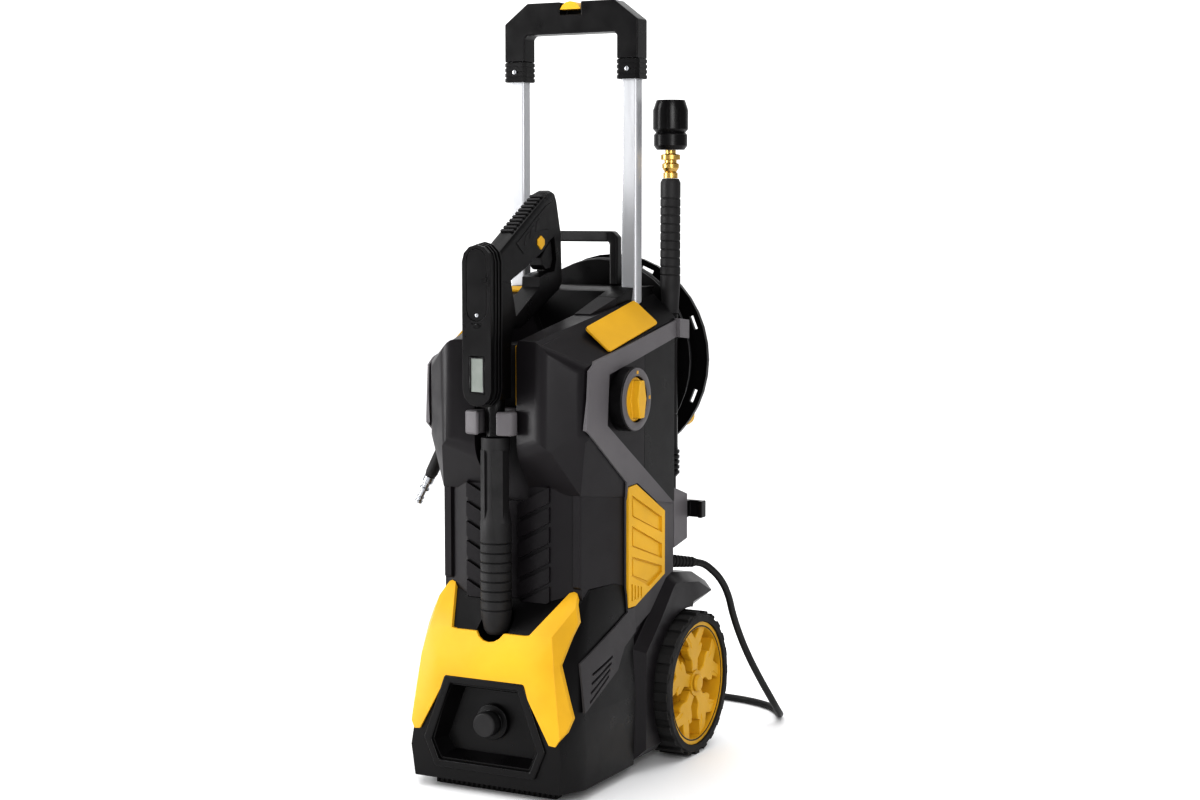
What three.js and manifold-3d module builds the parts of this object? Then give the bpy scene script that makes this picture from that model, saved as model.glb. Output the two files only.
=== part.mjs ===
// Electric pressure washer: a wheeled upright housing with a telescopic handle, a spray gun clipped in the
// front, a lance in a holder at the rear right, a hose reel at the back and a mains lead.
// Units are millimetres. +Z is up, the front faces -Y and +X is to the right of someone facing it.
// The origin is on the floor under the middle of the machine.
import * as THREE from 'three';
import { mergeVertices } from 'three/addons/utils/BufferGeometryUtils.js';
import { ConvexGeometry } from 'three/addons/geometries/ConvexGeometry.js';
import Module from 'manifold-3d';

const wasm = await Module();
wasm.setup();

// ---------- Driving dimensions ----------
const GAP = 0.4; // clearance between touching pieces

// wheels and axle
const WHEEL_RADIUS = 90;
const RIM_RADIUS = 77;
const AXLE_Y = 100;
const AXLE_RADIUS = 6;
const WHEEL_OUTER_X = 141;
const WHEEL_WIDTH = 43;

// telescopic handle
const TUBE_X = 77.7;
const TUBE_Y = 36.5;
const TUBE_WIDTH = 21;
const TUBE_DEPTH = 17;
const TUBE_WALL = 1.6;
const TUBE_BOTTOM = 470;
const COLLAR_BOTTOM = 836;
const COLLAR_TOP = 860;
const COLLAR_WIDTH = 31;
const COLLAR_DEPTH = 28;
const COLLAR_RIDGE_PITCH = 6.2;
const COLLAR_RIDGE_HEIGHT = 4;
const GRIP_UNDERSIDE = 892;
const GRIP_TOP = 930;

// housing
const FLOOR_GAP = 13;
const BASE_FRONT = -186;
const REAR_FACE = 74;
const SPLIT_Y = 0;
const WALL = 4;
const DECK_REAR_Z = 580.5;
const CHANNEL_HALF = 28;
const CHANNEL_BACK = -118;

// gun
const GUN_BARREL_Y = -157;
const POD_FRONT = -198;
const POD_DEPTH = 22;
const POD_HALF = 19;
const POD_TOP = 640;
const POD_BOTTOM = 456;
const GRIP_BEVEL = 6;

// lance
const LANCE_X = 104.5;
const LANCE_Y = 88.5;
const LANCE_TIP_Z = 300;

// hose reel
const REEL_Z = 492;
const REEL_RADIUS = 131;
const REEL_FRONT = 102;
const REEL_REAR = 147;
const DRUM_RADIUS = 68;
const WINDING_RADIUS = 117;
const CRANK_ANGLE = -Math.PI / 4;
const CRANK_REACH = 108;
const KNOB_END = 198;

// switch on the right side
const SWITCH = new THREE.Vector3(0, -49, 458);
const SWITCH_RADIUS = 38;
const SWITCH_FACE_X = 128;

// mains lead and hose
const GLAND_START = new THREE.Vector3(98, REAR_FACE - 6, 247);
const GLAND_AXIS = new THREE.Vector3(25, 56, -9).normalize();
const GLAND_LENGTH = 62;
const LEAD_RADIUS = 4.5;
const HOSE_RADIUS = 5.5;
const COIL_CENTRE = new THREE.Vector2(-55, 292);
const COIL_INNER = 32;
const COIL_OUTER = 72;
const COIL_HEIGHT = 37;
const PLUG_RADIUS = 18;

// ---------- Colours ----------
const BLACK = { color: 0x1d1b1d, roughness: 0.55, metalness: 0 };
const CHARCOAL = { color: 0x2b292c, roughness: 0.55, metalness: 0 };
const GREY = { color: 0x6d6a6c, roughness: 0.5, metalness: 0 };
const YELLOW = { color: 0xf2b91e, roughness: 0.4, metalness: 0 };
const RUBBER = { color: 0x141314, roughness: 0.85, metalness: 0 };
const ALUMINIUM = { color: 0xd9dadc, roughness: 0.3, metalness: 0.9 };
const STEEL = { color: 0xb8bbc0, roughness: 0.25, metalness: 1 };
const BRASS = { color: 0xc79a4b, roughness: 0.3, metalness: 1 };
const SCREEN = { color: 0x9aa296, roughness: 0.2, metalness: 0 };

// ---------- Solid helpers ----------
const X_AXIS = new THREE.Vector3(1, 0, 0);
const Y_AXIS = new THREE.Vector3(0, 1, 0);
const Z_AXIS = new THREE.Vector3(0, 0, 1);

function solid(geometry) {
  const bare = (geometry.index ? geometry.toNonIndexed() : geometry.clone());
  bare.deleteAttribute('normal');
  bare.deleteAttribute('uv');
  const merged = mergeVertices(bare, 1e-4);
  return new wasm.Manifold(new wasm.Mesh({
    numProp: 3,
    vertProperties: merged.attributes.position.array,
    triVerts: new Uint32Array(merged.index.array),
  }));
}

function geometryOf(manifold) {
  const { vertProperties, triVerts, numProp } = manifold.getMesh();
  const positions = new Float32Array(triVerts.length * 3);
  triVerts.forEach((vertex, i) => {
    for (let k = 0; k < 3; k++) positions[i * 3 + k] = vertProperties[vertex * numProp + k];
  });
  const geometry = new THREE.BufferGeometry();
  geometry.setAttribute('position', new THREE.BufferAttribute(positions, 3));
  geometry.computeVertexNormals();
  return geometry;
}

const join = (...solids) => solids.reduce((a, b) => a.add(b));
const cut = (first, ...tools) => tools.reduce((a, b) => a.subtract(b), first);

function outline(points) {
  return new THREE.Shape(points.map(([a, b]) => new THREE.Vector2(a, b)));
}

const ARC_STEPS = 3; // three.js draws twice as many chords on each arc

function extrude(shape, depth, basis) {
  const geometry = new THREE.ExtrudeGeometry(shape, { depth, bevelEnabled: false, curveSegments: ARC_STEPS });
  return solid(geometry.applyMatrix4(basis));
}

// A prism along X from an outline in (y, z).
function prismX(shape, x0, x1) {
  const basis = new THREE.Matrix4().makeBasis(Y_AXIS, Z_AXIS, X_AXIS).setPosition(x0, 0, 0);
  return extrude(Array.isArray(shape) ? outline(shape) : shape, x1 - x0, basis);
}

// A prism along Y from an outline in (x, z).
function prismY(shape, y0, y1) {
  const basis = new THREE.Matrix4().makeBasis(X_AXIS, Z_AXIS, Y_AXIS.clone().negate()).setPosition(0, y1, 0);
  return extrude(Array.isArray(shape) ? outline(shape) : shape, y1 - y0, basis);
}

// A prism along Z from an outline in (x, y).
function prismZ(shape, z0, z1) {
  const basis = new THREE.Matrix4().setPosition(0, 0, z0);
  return extrude(Array.isArray(shape) ? outline(shape) : shape, z1 - z0, basis);
}

function box(x0, x1, y0, y1, z0, z1) {
  const geometry = new THREE.BoxGeometry(x1 - x0, y1 - y0, z1 - z0);
  return solid(geometry.translate((x0 + x1) / 2, (y0 + y1) / 2, (z0 + z1) / 2));
}

function hull(points) {
  return solid(new ConvexGeometry(points.map(([x, y, z]) => new THREE.Vector3(x, y, z))));
}

// Both mirror images of each point across the machine's plane of symmetry.
const mirrored = (points) => points.flatMap(([x, y, z]) => [[x, y, z], [-x, y, z]]);

// A turned solid: the profile is [radius, height] pairs, and the axis is a unit vector through centre.
// A ring's profile, which stays off the axis, is closed on itself.
function turned(profile, centre, axis = Z_AXIS, segments = 32) {
  const isRing = profile[0][0] > 0;
  const closed = isRing ? [...profile, profile[0]] : profile;
  const points = closed.map(([radius, height]) => new THREE.Vector2(radius, height));
  const inwards = isRing && THREE.ShapeUtils.area(points) < 0;
  const geometry = new THREE.LatheGeometry(inwards ? points.reverse() : points, segments);
  geometry.applyQuaternion(new THREE.Quaternion().setFromUnitVectors(Y_AXIS, axis));
  return solid(geometry.translate(...centre));
}

function cylinder(radius, from, to, segments = 32) {
  const start = new THREE.Vector3(...from);
  const span = new THREE.Vector3(...to).sub(start);
  const length = span.length();
  return turned([[0, 0], [radius, 0], [radius, length], [0, length]], from, span.normalize(), segments);
}

function roundedRectangle(width, height, radius) {
  const shape = new THREE.Shape();
  const w = width / 2;
  const h = height / 2;
  shape.moveTo(-w + radius, -h);
  shape.lineTo(w - radius, -h);
  shape.absarc(w - radius, -h + radius, radius, -Math.PI / 2, 0, false);
  shape.lineTo(w, h - radius);
  shape.absarc(w - radius, h - radius, radius, 0, Math.PI / 2, false);
  shape.lineTo(-w + radius, h);
  shape.absarc(-w + radius, h - radius, radius, Math.PI / 2, Math.PI, false);
  shape.lineTo(-w, -h + radius);
  shape.absarc(-w + radius, -h + radius, radius, Math.PI, 1.5 * Math.PI, false);
  return shape;
}

function chamferedRectangle(width, height, chamfer) {
  const w = width / 2;
  const h = height / 2;
  return outline([[w - chamfer, -h], [w, -h + chamfer], [w, h - chamfer], [w - chamfer, h], [-w + chamfer, h],
    [-w, h - chamfer], [-w, -h + chamfer], [-w + chamfer, -h]]);
}

function addMesh(group, name, shape, material) {
  const mesh = new THREE.Mesh(geometryOf(shape), new THREE.MeshStandardMaterial(material));
  mesh.name = name;
  group.add(mesh);
  return mesh;
}

// The same solid on both sides: the right one is given, the left one is its mirror image.
function addPair(group, name, rightShape, material) {
  addMesh(group, `${name}_right`, rightShape, material);
  addMesh(group, `${name}_left`, rightShape.mirror([1, 0, 0]), material);
}

// ---------- Housing outer surfaces ----------
// grow widens the whole form outwards (or inwards when negative) to make shells and skins.
function shoulderForm(grow) {
  const g = grow;
  return hull(mirrored([
    [50 + g, -126 - g, 368 - g], [93 + g, -122 - g, 350 - g], [66 + g, -166 - g, 410 - g],
    [66 + g, -166 - g, 528 + g], [106 + g, -133 - g, 425], [106 + g, -133 - g, 499.5],
    [113 + g, -30, 523 + g], [118 + g, REAR_FACE + g, 549 + g], [118 + g, REAR_FACE + g, 322 - g],
    [85 + g, REAR_FACE + g, DECK_REAR_Z + g], [106 + g, -40, 340 - g],
  ]));
}

// The raised rear of the deck, where the handle tubes enter.
function deckForm(grow) {
  const g = grow;
  return hull(mirrored([
    [64 + g, -44 - g, 540], [64 + g, -44 - g, 556 + g], [66 + g, -4 - g, 573 + g], [60 + g, 26, 586 + g],
    [84 + g, 26, 585 + g], [89 + g, REAR_FACE + g, 586 + g], [89 + g, REAR_FACE + g, 540],
  ]));
}

function columnForm(grow) {
  const g = grow;
  const front = hull(mirrored([150, 420].flatMap((z) => [
    [57 + g, -128 - g, z], [82 + g, -119 - g, z], [60 + g, -60, z],
  ])));
  const body = hull(mirrored([150, 420].flatMap((z) => [
    [82 + g, -119 - g, z], [93 + g, -119 - g, z], [107 + g, -28, z], [115 + g, REAR_FACE + g, z],
  ])));
  return front.add(body);
}

// The flared lower skirt, from the column down to the base.
function skirtForm(grow) {
  const g = grow;
  return hull(mirrored([
    [81 + g, -112 - g, 238 + g], [97 + g, -104 - g, 238 + g], [106 + g, -22 + g, 238 + g],
    [79 + g, -168 - g, 190 + g], [98 + g, -142 - g, 190],
    [60 + g, -182 - g, 160], [86 + g, -177 - g, 158], [103 + g, -150 - g, 160],
    [60 + g, BASE_FRONT - g, 95], [98.5 + g, -176 - g, 95], [113 + g, -150 - g, 100],
    [101 + g, BASE_FRONT + 1 - g, 50], [116 + g, -150 - g, 50], [116 + g, -22 + g, 100],
    [97 + g, BASE_FRONT + 3 - g, FLOOR_GAP - g], [113 + g, -149 - g, FLOOR_GAP - g],
    [113 + g, -22 + g, FLOOR_GAP - g],
  ]));
}

// The rear of the base, between the wheels.
function rearBaseForm(grow) {
  const g = grow;
  return hull(mirrored([
    [88 + g, -60, FLOOR_GAP + 12 - g], [88 + g, 150 + g, FLOOR_GAP + 12 - g], [88 + g, 150 + g, 118 + g],
    [88 + g, REAR_FACE + g, 238 + g], [88 + g, -60, 238 + g],
  ]));
}

const gunChannel = join(
  prismZ([
    [-70, -166.95], [-CHANNEL_HALF, -157], [-CHANNEL_HALF, CHANNEL_BACK], [CHANNEL_HALF, CHANNEL_BACK],
    [CHANNEL_HALF, -157], [70, -166.95], [70, -200], [-70, -200],
  ], 340, 640),
  prismY([[-64, 606], [-CHANNEL_HALF, 522], [CHANNEL_HALF, 522], [64, 606]], -190, 14),
);

// ---------- Housing ----------
function tubeWell(side, grow) {
  const w = TUBE_WIDTH / 2 + grow;
  const d = TUBE_DEPTH / 2 + grow;
  return box(side * TUBE_X - w, side * TUBE_X + w, TUBE_Y - d, TUBE_Y + d, 60, 640);
}

function housingShell() {
  const outer = join(shoulderForm(0), columnForm(0), deckForm(0));
  const inner = join(shoulderForm(-WALL), columnForm(-WALL), deckForm(-WALL));
  const channelWall = join(
    box(-CHANNEL_HALF - WALL, CHANNEL_HALF + WALL, -170, CHANNEL_BACK + WALL, 330, 600),
    prismZ([[-64, -170], [64, -170], [64, -161], [CHANNEL_HALF, -152], [-CHANNEL_HALF, -152], [-64, -161]],
      350, 600),
    prismY([[-68, 606], [-CHANNEL_HALF - WALL, 517], [CHANNEL_HALF + WALL, 517], [68, 606]], -168, 18),
  );
  const cavity = cut(inner, channelWall);
  const shell = cut(cut(outer, gunChannel), cavity, skirtForm(GAP), tubeWell(1, 0.6), tubeWell(-1, 0.6));
  return cut(shell, box(-95, 95, -100, REAR_FACE + 10, 100, 239), rearBaseForm(GAP), ...archSpaces());
}

// Slanted pads stand on the column's front face in a V pattern on each side of the barrel.
function columnPads() {
  const PAD_COUNT = 6;
  const PAD_PITCH = 23.4;
  const PAD_HEIGHT = 18;
  const PAD_INNER = 14;
  const PAD_OUTER = 56;
  const PAD_RISE = 21.5;
  const TOP_PAD_Z = 337.5;
  const pads = [];
  for (let i = 0; i < PAD_COUNT; i++) {
    const z = TOP_PAD_Z - i * PAD_PITCH;
    for (const side of [1, -1]) {
      pads.push(prismY([
        [side * PAD_INNER, z], [side * PAD_OUTER, z + PAD_RISE],
        [side * PAD_OUTER, z + PAD_RISE - PAD_HEIGHT], [side * PAD_INNER, z - PAD_HEIGHT],
      ], -131.5, -126));
    }
  }
  return pads.map((pad) => cut(pad, skirtForm(GAP)));
}

// A narrow raised strip runs up each front corner of the column.
function edgeStrips() {
  return [1, -1].map((side) => hull([
    [side * 82, -119, 240], [side * 82, -119, 352], [side * 93, -119, 240], [side * 93, -119, 352],
    [side * 83, -122.5, 243], [side * 83, -122.5, 350], [side * 92, -122.5, 243], [side * 92, -122.5, 350],
  ]));
}

function addHousing(group) {
  const whole = housingShell();
  const frontHalf = box(-200, 200, -300, SPLIT_Y - GAP / 2, 0, 700);
  const rearHalf = box(-200, 200, SPLIT_Y + GAP / 2, 300, 0, 700);
  const front = join(whole.intersect(frontHalf), ...edgeStrips(), ...columnPads());
  addMesh(group, 'front_shell', front, CHARCOAL);
  const inside = GLAND_START.clone().addScaledVector(GLAND_AXIS, -20);
  const outside = GLAND_START.clone().addScaledVector(GLAND_AXIS, 20);
  const leadHole = cylinder(9, inside.toArray(), outside.toArray(), 16);
  const reelHole = cylinder(22, [0, REAR_FACE - 20, REEL_Z], [0, REAR_FACE + 20, REEL_Z], 24);
  addMesh(group, 'rear_shell', cut(whole.intersect(rearHalf), leadHole, reelHole), BLACK);
}

// A hexagonal recess in the front of the base, tapering inwards.
function frontRecess() {
  const ring = (y, inset) => mirrored([
    [46 - inset, y, 129 - inset], [70 - inset, y, 60], [60 - inset, y, 38 + inset],
  ]);
  return hull([...ring(BASE_FRONT - 6, -1), ...ring(BASE_FRONT + 22, 8)]);
}

// The gun's barrel stands in a cup in the top of the skirt.
const CUP = { z: 186, radius: 21 };

function addBase(group) {
  const cavity = join(skirtForm(-WALL), rearBaseForm(-WALL), box(-84, 84, -105, 60, 150, 245));
  const recessWall = hull(mirrored([
    [56, BASE_FRONT - 4, 134], [80, BASE_FRONT - 4, 62], [68, BASE_FRONT - 4, 30],
    [44, BASE_FRONT + 27, 124], [66, BASE_FRONT + 27, 60], [56, BASE_FRONT + 27, 36],
  ]));
  const barrelCup = cylinder(CUP.radius, [0, GUN_BARREL_Y, CUP.z - 6], [0, GUN_BARREL_Y, 260], 28);
  const cupWall = cylinder(CUP.radius + 4, [0, GUN_BARREL_Y, CUP.z - 11], [0, GUN_BARREL_Y, 250], 28);
  const cupFront = box(-CUP.radius, CUP.radius, -200, GUN_BARREL_Y, CUP.z, 260);
  const outer = join(skirtForm(0), rearBaseForm(0));
  const wheelWells = [1, -1].map((side) => cylinder(
    WHEEL_RADIUS + 6, [side * 94, AXLE_Y, WHEEL_RADIUS], [side * 160, AXLE_Y, WHEEL_RADIUS], 40));
  const axleHole = cylinder(AXLE_RADIUS + 0.5, [-120, AXLE_Y, WHEEL_RADIUS], [120, AXLE_Y, WHEEL_RADIUS], 20);
  const hollow = cut(cavity, recessWall, cupWall);
  const topOpening = box(-78, 78, -100, 60, 190, 260);
  const inletHole = cylinder(13, [0, BASE_FRONT + 10, 84], [0, BASE_FRONT + 40, 84], 24);
  const drain = cylinder(4, [0, 0, 0], [0, 0, 40], 12);
  const tray = cut(outer, hollow, frontRecess(), barrelCup, cupFront, topOpening, axleHole, inletHole, drain,
    ...wheelWells, ...archSpaces());
  addMesh(group, 'base_tray', tray, BLACK);
  addMesh(group, 'front_foot', prismY([[-81, 0], [81, 0], [85, FLOOR_GAP - GAP], [-85, FLOOR_GAP - GAP]],
    -160, -146), RUBBER);
}

// The X-shaped trim: a 3 mm skin over the skirt.
function addFrontTrim(group) {
  const arm = [
    [46, 191], [52, 192], [79, 238], [87, 237], [98, 205], [93, 161], [107, 100], [104, 85], [95, 70],
    [87, 71], [52, 133],
  ];
  const notchDepth = 10;
  const notchAngle = Math.asin(notchDepth / CUP.radius);
  const shape = new THREE.Shape();
  shape.moveTo(-52, 133);
  [...arm].reverse().forEach(([x, z]) => shape.lineTo(x, z));
  shape.absarc(0, 191 + notchDepth, CUP.radius, -notchAngle, -Math.PI + notchAngle, true);
  arm.slice(0, -1).forEach(([x, z]) => shape.lineTo(-x, z));
  const skin = cut(skirtForm(3), skirtForm(GAP), columnForm(GAP));
  const stencil = prismY(shape, -230, -95);
  addMesh(group, 'front_trim', skin.intersect(stencil), YELLOW);
}

// The angular grey band on each side, with its louvre slots at the lower front end.
function addRibbons(group) {
  const band = [
    [REAR_FACE - 1, 545], [-116, 506], [-131, 496], [-136, 428], [-40, 357], [-37, 337], [-37, 201],
    [-46, 198], [-148, 160], [-152, 104], [-70, 138], [-50, 162], [REAR_FACE - 1, 216],
    [REAR_FACE - 1, 318], [-90, 430], [-86, 489], [REAR_FACE - 1, 524],
  ];
  const skin = cut(join(shoulderForm(2.6), columnForm(2.6), skirtForm(2.6)),
    shoulderForm(GAP), columnForm(GAP), skirtForm(GAP), ...archSpaces(), prismX(ventOutline(GAP), 80, 160));
  const slots = [0, 1, 2, 3].map((i) => prismX([
    [-140 + i * 4, 112 + i * 10], [-92 + i * 4, 134 + i * 7], [-92 + i * 4, 137 + i * 7],
    [-140 + i * 4, 115 + i * 10],
  ], 80, 160));
  const stencil = prismX(band, 96, 160);
  addPair(group, 'side_band', cut(skin.intersect(stencil), ...slots), GREY);
}

function ventOutline(grow) {
  const g = grow;
  return [[-36 - g, 205 - g], [-20 + g, 205 - g], [50 + g, 234 - g], [50 + g, 314 + g], [-18 + g, 354 + g],
    [-36 - g, 352 + g]];
}

// The vent grille on each side, a raised panel with slanted hollows.
function addVents(group) {
  const hollows = [0, 1, 2, 3].map((i) => prismX([
    [-16, 334 - i * 30], [36, 306 - i * 28], [36, 290 - i * 28], [-16, 314 - i * 30],
  ], 80, 140));
  const plate = prismX(ventOutline(0), 80, 140).intersect(
    cut(columnForm(6), columnForm(GAP), shoulderForm(GAP), skirtForm(GAP)));
  const cutters = hollows.map((hollow) => hollow.intersect(columnForm(7)).subtract(columnForm(3.5)));
  addPair(group, 'side_vent', cut(plate, ...cutters), YELLOW);
}

// Blank plate on the sloping facet above the band.
function addLabels(group) {
  const normal = new THREE.Vector3(0.674, -0.208, 0.709).normalize();
  const along = new THREE.Vector3(6, 116, 28).projectOnPlane(normal).normalize();
  const across = new THREE.Vector3().crossVectors(normal, along);
  const centre = new THREE.Vector3(95.8, -25.8, 541);
  const basis = new THREE.Matrix4().makeBasis(along, across, normal).setPosition(centre);
  const plate = extrude(roundedRectangle(118, 41, 5), 9, basis.clone().multiply(
    new THREE.Matrix4().makeTranslation(0, 0, -5)));
  const onFacet = cut(plate.intersect(shoulderForm(2.4)), shoulderForm(GAP), deckForm(GAP), tubeWell(1, 0.6));
  addPair(group, 'blank_plate', onFacet, YELLOW);
}

function addGunClip(group) {
  const clipBack = CHANNEL_BACK - GAP;
  const prongs = prismZ([
    [12, -178], [31, -174], [33, -168], [33, -162], [24, -156], [24, clipBack], [-24, clipBack],
    [-24, -156], [-33, -162], [-33, -168], [-31, -174], [-12, -178], [-12, -172], [-17, -166], [-17, -135],
    [17, -135], [17, -166], [12, -172],
  ], 421, 449);
  addMesh(group, 'gun_clip', prongs, GREY);
  addMesh(group, 'channel_strip', box(CHANNEL_HALF - 4, CHANNEL_HALF - GAP, -152, -124, 455, 524), YELLOW);
}

function addCarryHandle(group) {
  const shape = outline([[-51, 560], [-51, 646], [-44, 653], [44, 653], [51, 646], [51, 560], [40, 560],
    [40, 638], [36, 642], [-36, 642], [-40, 638], [-40, 560]]);
  const bar = prismY(shape, 49, 63);
  addMesh(group, 'carry_handle', cut(bar, shoulderForm(GAP), deckForm(GAP)), BLACK);
}

// The wheel arches fill the space between the housing and the wheels, from the floor up over the tyre.
const ARCH_INNER_X = 89;
const ARCH_OUTER_X = 124;
const ARCH_BEVEL = 12;
const ARCH_OUTLINE = [[-26, 18], [-26, 154], [18, 191], [56, 228], [70, 233], [138, 223], [178, 205],
  [188, 187]];

function archSpaces() {
  const front = ARCH_OUTLINE.map(([y, z]) => [y - GAP, z + GAP]);
  const space = prismX([[-26 - GAP, 5], ...front, [200, 187], [200, 5]], ARCH_INNER_X - GAP, 200);
  return [space, space.mirror([1, 0, 0])];
}

function addArches(group) {
  const wheelSpace = cylinder(WHEEL_RADIUS + 4, [60, AXLE_Y, WHEEL_RADIUS], [160, AXLE_Y, WHEEL_RADIUS], 56);
  const behindWheel = box(60, 160, AXLE_Y, 300, 0, 178);
  const settings = {
    depth: ARCH_OUTER_X - ARCH_INNER_X, bevelThickness: ARCH_BEVEL, bevelSize: ARCH_BEVEL,
    bevelOffset: -ARCH_BEVEL, bevelSegments: 1,
  };
  const bevelled = new THREE.ExtrudeGeometry(outline([...ARCH_OUTLINE, [128, 178], [70, 18]]), settings);
  const basis = new THREE.Matrix4().makeBasis(Y_AXIS, Z_AXIS, X_AXIS)
    .setPosition(ARCH_INNER_X - ARCH_BEVEL, 0, 0);
  const insideEdge = box(60, ARCH_INNER_X, -100, 300, 0, 300);
  const arch = cut(solid(bevelled.applyMatrix4(basis)), insideEdge, wheelSpace, behindWheel);
  addPair(group, 'wheel_arch', arch, CHARCOAL);
}

function addLanceSupports(group) {
  const clip = prismX([[REAR_FACE + GAP, 547], [REEL_FRONT - 1, 544], [REEL_FRONT - 1, 521],
    [REAR_FACE + GAP, 524]], 84, 125);
  const clipBore = cylinder(13.4, [LANCE_X, LANCE_Y, 500], [LANCE_X, LANCE_Y, 560], 28);
  addMesh(group, 'lance_clip', cut(clip, clipBore), GREY);
  const holder = prismX([[REAR_FACE + GAP, 338], [112, 326], [112, 270], [REAR_FACE + GAP, 263]], 88, 118);
  const socket = cylinder(9, [LANCE_X, LANCE_Y, LANCE_TIP_Z - 2], [LANCE_X, LANCE_Y, 360], 24);
  addMesh(group, 'lance_holder', cut(holder, socket), GREY);
}

function addSwitch(group) {
  const centre = [0, SWITCH.y, SWITCH.z];
  const housing = cut(
    turned([[0, 100], [SWITCH_RADIUS, 100], [SWITCH_RADIUS, SWITCH_FACE_X - 1.5],
      [SWITCH_RADIUS - 1.5, SWITCH_FACE_X], [0, SWITCH_FACE_X]], centre, X_AXIS, 48),
    shoulderForm(GAP),
    cylinder(27, [SWITCH_FACE_X - 6, SWITCH.y, SWITCH.z], [SWITCH_FACE_X + 4, SWITCH.y, SWITCH.z], 40),
  );
  addMesh(group, 'switch_housing', housing, GREY);
  const knobRim = cylinder(26.4, [SWITCH_FACE_X - 5.6, SWITCH.y, SWITCH.z],
    [SWITCH_FACE_X - 2, SWITCH.y, SWITCH.z], 40);
  const bladeShape = new THREE.Shape();
  bladeShape.absellipse(SWITCH.y, SWITCH.z, 11, 25.5, 0, 2 * Math.PI, false);
  const blade = prismX(bladeShape, SWITCH_FACE_X - 3, SWITCH_FACE_X + 8);
  addMesh(group, 'switch_knob', join(knobRim, blade), YELLOW);
}

// Motor and pump stand inside the housing, on the base.
function addDrive(group) {
  const motor = turned([[0, 236], [34, 236], [34, 250], [44, 250], [44, 380], [30, 380], [30, 392], [0, 392]],
    [0, -30, 0], Z_AXIS, 32);
  addMesh(group, 'motor', motor, STEEL);
  const pump = join(
    cylinder(38, [0, -30, 170], [0, -30, 235.5], 28),
    box(-28, 28, -58, -2, 60, 172),
    cylinder(12, [0, -100, 84], [0, -57, 84], 20),
    box(-26, 26, -58, -28, FLOOR_GAP + WALL + GAP, 62),
  );
  addMesh(group, 'pump', pump, ALUMINIUM);
}

function addInlet(group) {
  const floorY = BASE_FRONT + 22;
  const inlet = turned([[0, 0], [17, 0], [21, 2], [21, 5], [14, 6], [14, 10], [0, 10]],
    [0, floorY - GAP, 84], Y_AXIS.clone().negate(), 32);
  const spigot = cylinder(12.4, [0, floorY - 1, 84], [0, -100.5, 84], 24);
  addMesh(group, 'water_inlet', join(inlet, spigot), BLACK);
  const cap = turned([[0, 0], [15, 0], [15, 11], [13.5, 13], [0, 13]],
    [0, floorY - 10 - 2 * GAP, 84], Y_AXIS.clone().negate(), 32);
  addMesh(group, 'inlet_cap', cap, RUBBER);
}

function addReelBracket(group) {
  const bracket = join(
    cylinder(21.4, [0, REAR_FACE - 14, REEL_Z], [0, REAR_FACE + 1, REEL_Z], 32),
    cylinder(36, [0, REAR_FACE + GAP, REEL_Z], [0, REEL_FRONT - 1, REEL_Z], 32),
    cylinder(10, [0, REEL_FRONT - 2, REEL_Z], [0, REEL_REAR - 1, REEL_Z], 24),
  );
  addMesh(group, 'reel_bracket', bracket, BLACK);
}

function addCableHook(group) {
  const hook = prismZ([
    [92, 112 + GAP], [118, 112 + GAP], [118, 119], [131, 119], [131, 113.5], [137, 113.5], [137, 126],
    [92, 126],
  ], 296, 317);
  addMesh(group, 'cable_hook', hook, BLACK);
}

function addStrainRelief(group) {
  const relief = turned([[0, -6], [8, -6], [8, 13], [8.6, 13.4], [8.6, 18], [7.2, 19], [5.6, GLAND_LENGTH],
    [0, GLAND_LENGTH]], GLAND_START.toArray(), GLAND_AXIS, 20);
  addMesh(group, 'cable_gland', relief, RUBBER);
}

// ---------- Wheels ----------
function spokedRim() {
  const width = WHEEL_WIDTH - 6;
  const barrel = turned([[RIM_RADIUS - 7, 0], [RIM_RADIUS, 0], [RIM_RADIUS, width], [RIM_RADIUS - 7, width]],
    [0, 0, 0], X_AXIS, 32);
  const web = turned([[0, 8], [RIM_RADIUS - 5, 8], [RIM_RADIUS - 5, 12], [0, 12]], [0, 0, 0], X_AXIS, 32);
  const hub = cylinder(16, [0, 0, 0], [width - 1, 0, 0], 32);
  let rim = join(barrel, web, hub);
  const SPOKES = 5;
  for (let i = 0; i < SPOKES; i++) {
    const turn = (shape) => shape.rotate([(i * 360) / SPOKES, 0, 0]);
    const stem = prismX([[-8, 15], [8, 15], [7, 42], [-7, 42]], 9, width - 3);
    const fork = prismX([[-6, 36], [6, 36], [32, RIM_RADIUS - 9], [20, RIM_RADIUS - 5], [0, 46],
      [-20, RIM_RADIUS - 5], [-32, RIM_RADIUS - 9]], 9.5, width - 3.5);
    rim = join(rim, turn(stem), turn(fork));
  }
  const bore = cylinder(AXLE_RADIUS + 0.3, [-5, 0, 0], [width + 5, 0, 0], 24);
  return cut(rim, bore);
}

function treadedTyre() {
  const inner = RIM_RADIUS + GAP;
  const shoulder = WHEEL_RADIUS - 3;
  let tyre = turned([[inner, 0], [shoulder - 2, 0], [shoulder, 3], [shoulder, WHEEL_WIDTH - 3],
    [shoulder - 2, WHEEL_WIDTH], [inner, WHEEL_WIDTH]], [0, 0, 0], X_AXIS, 32);
  const LUG_COUNT = 24;
  const LUG_HALF = 5.5;
  for (let i = 0; i < LUG_COUNT; i++) {
    const lug = box(2, WHEEL_WIDTH - 2, -LUG_HALF, LUG_HALF, shoulder - 2, WHEEL_RADIUS);
    tyre = tyre.add(lug.rotate([(i * 360) / LUG_COUNT, 0, 0]));
  }
  return tyre;
}

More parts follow.
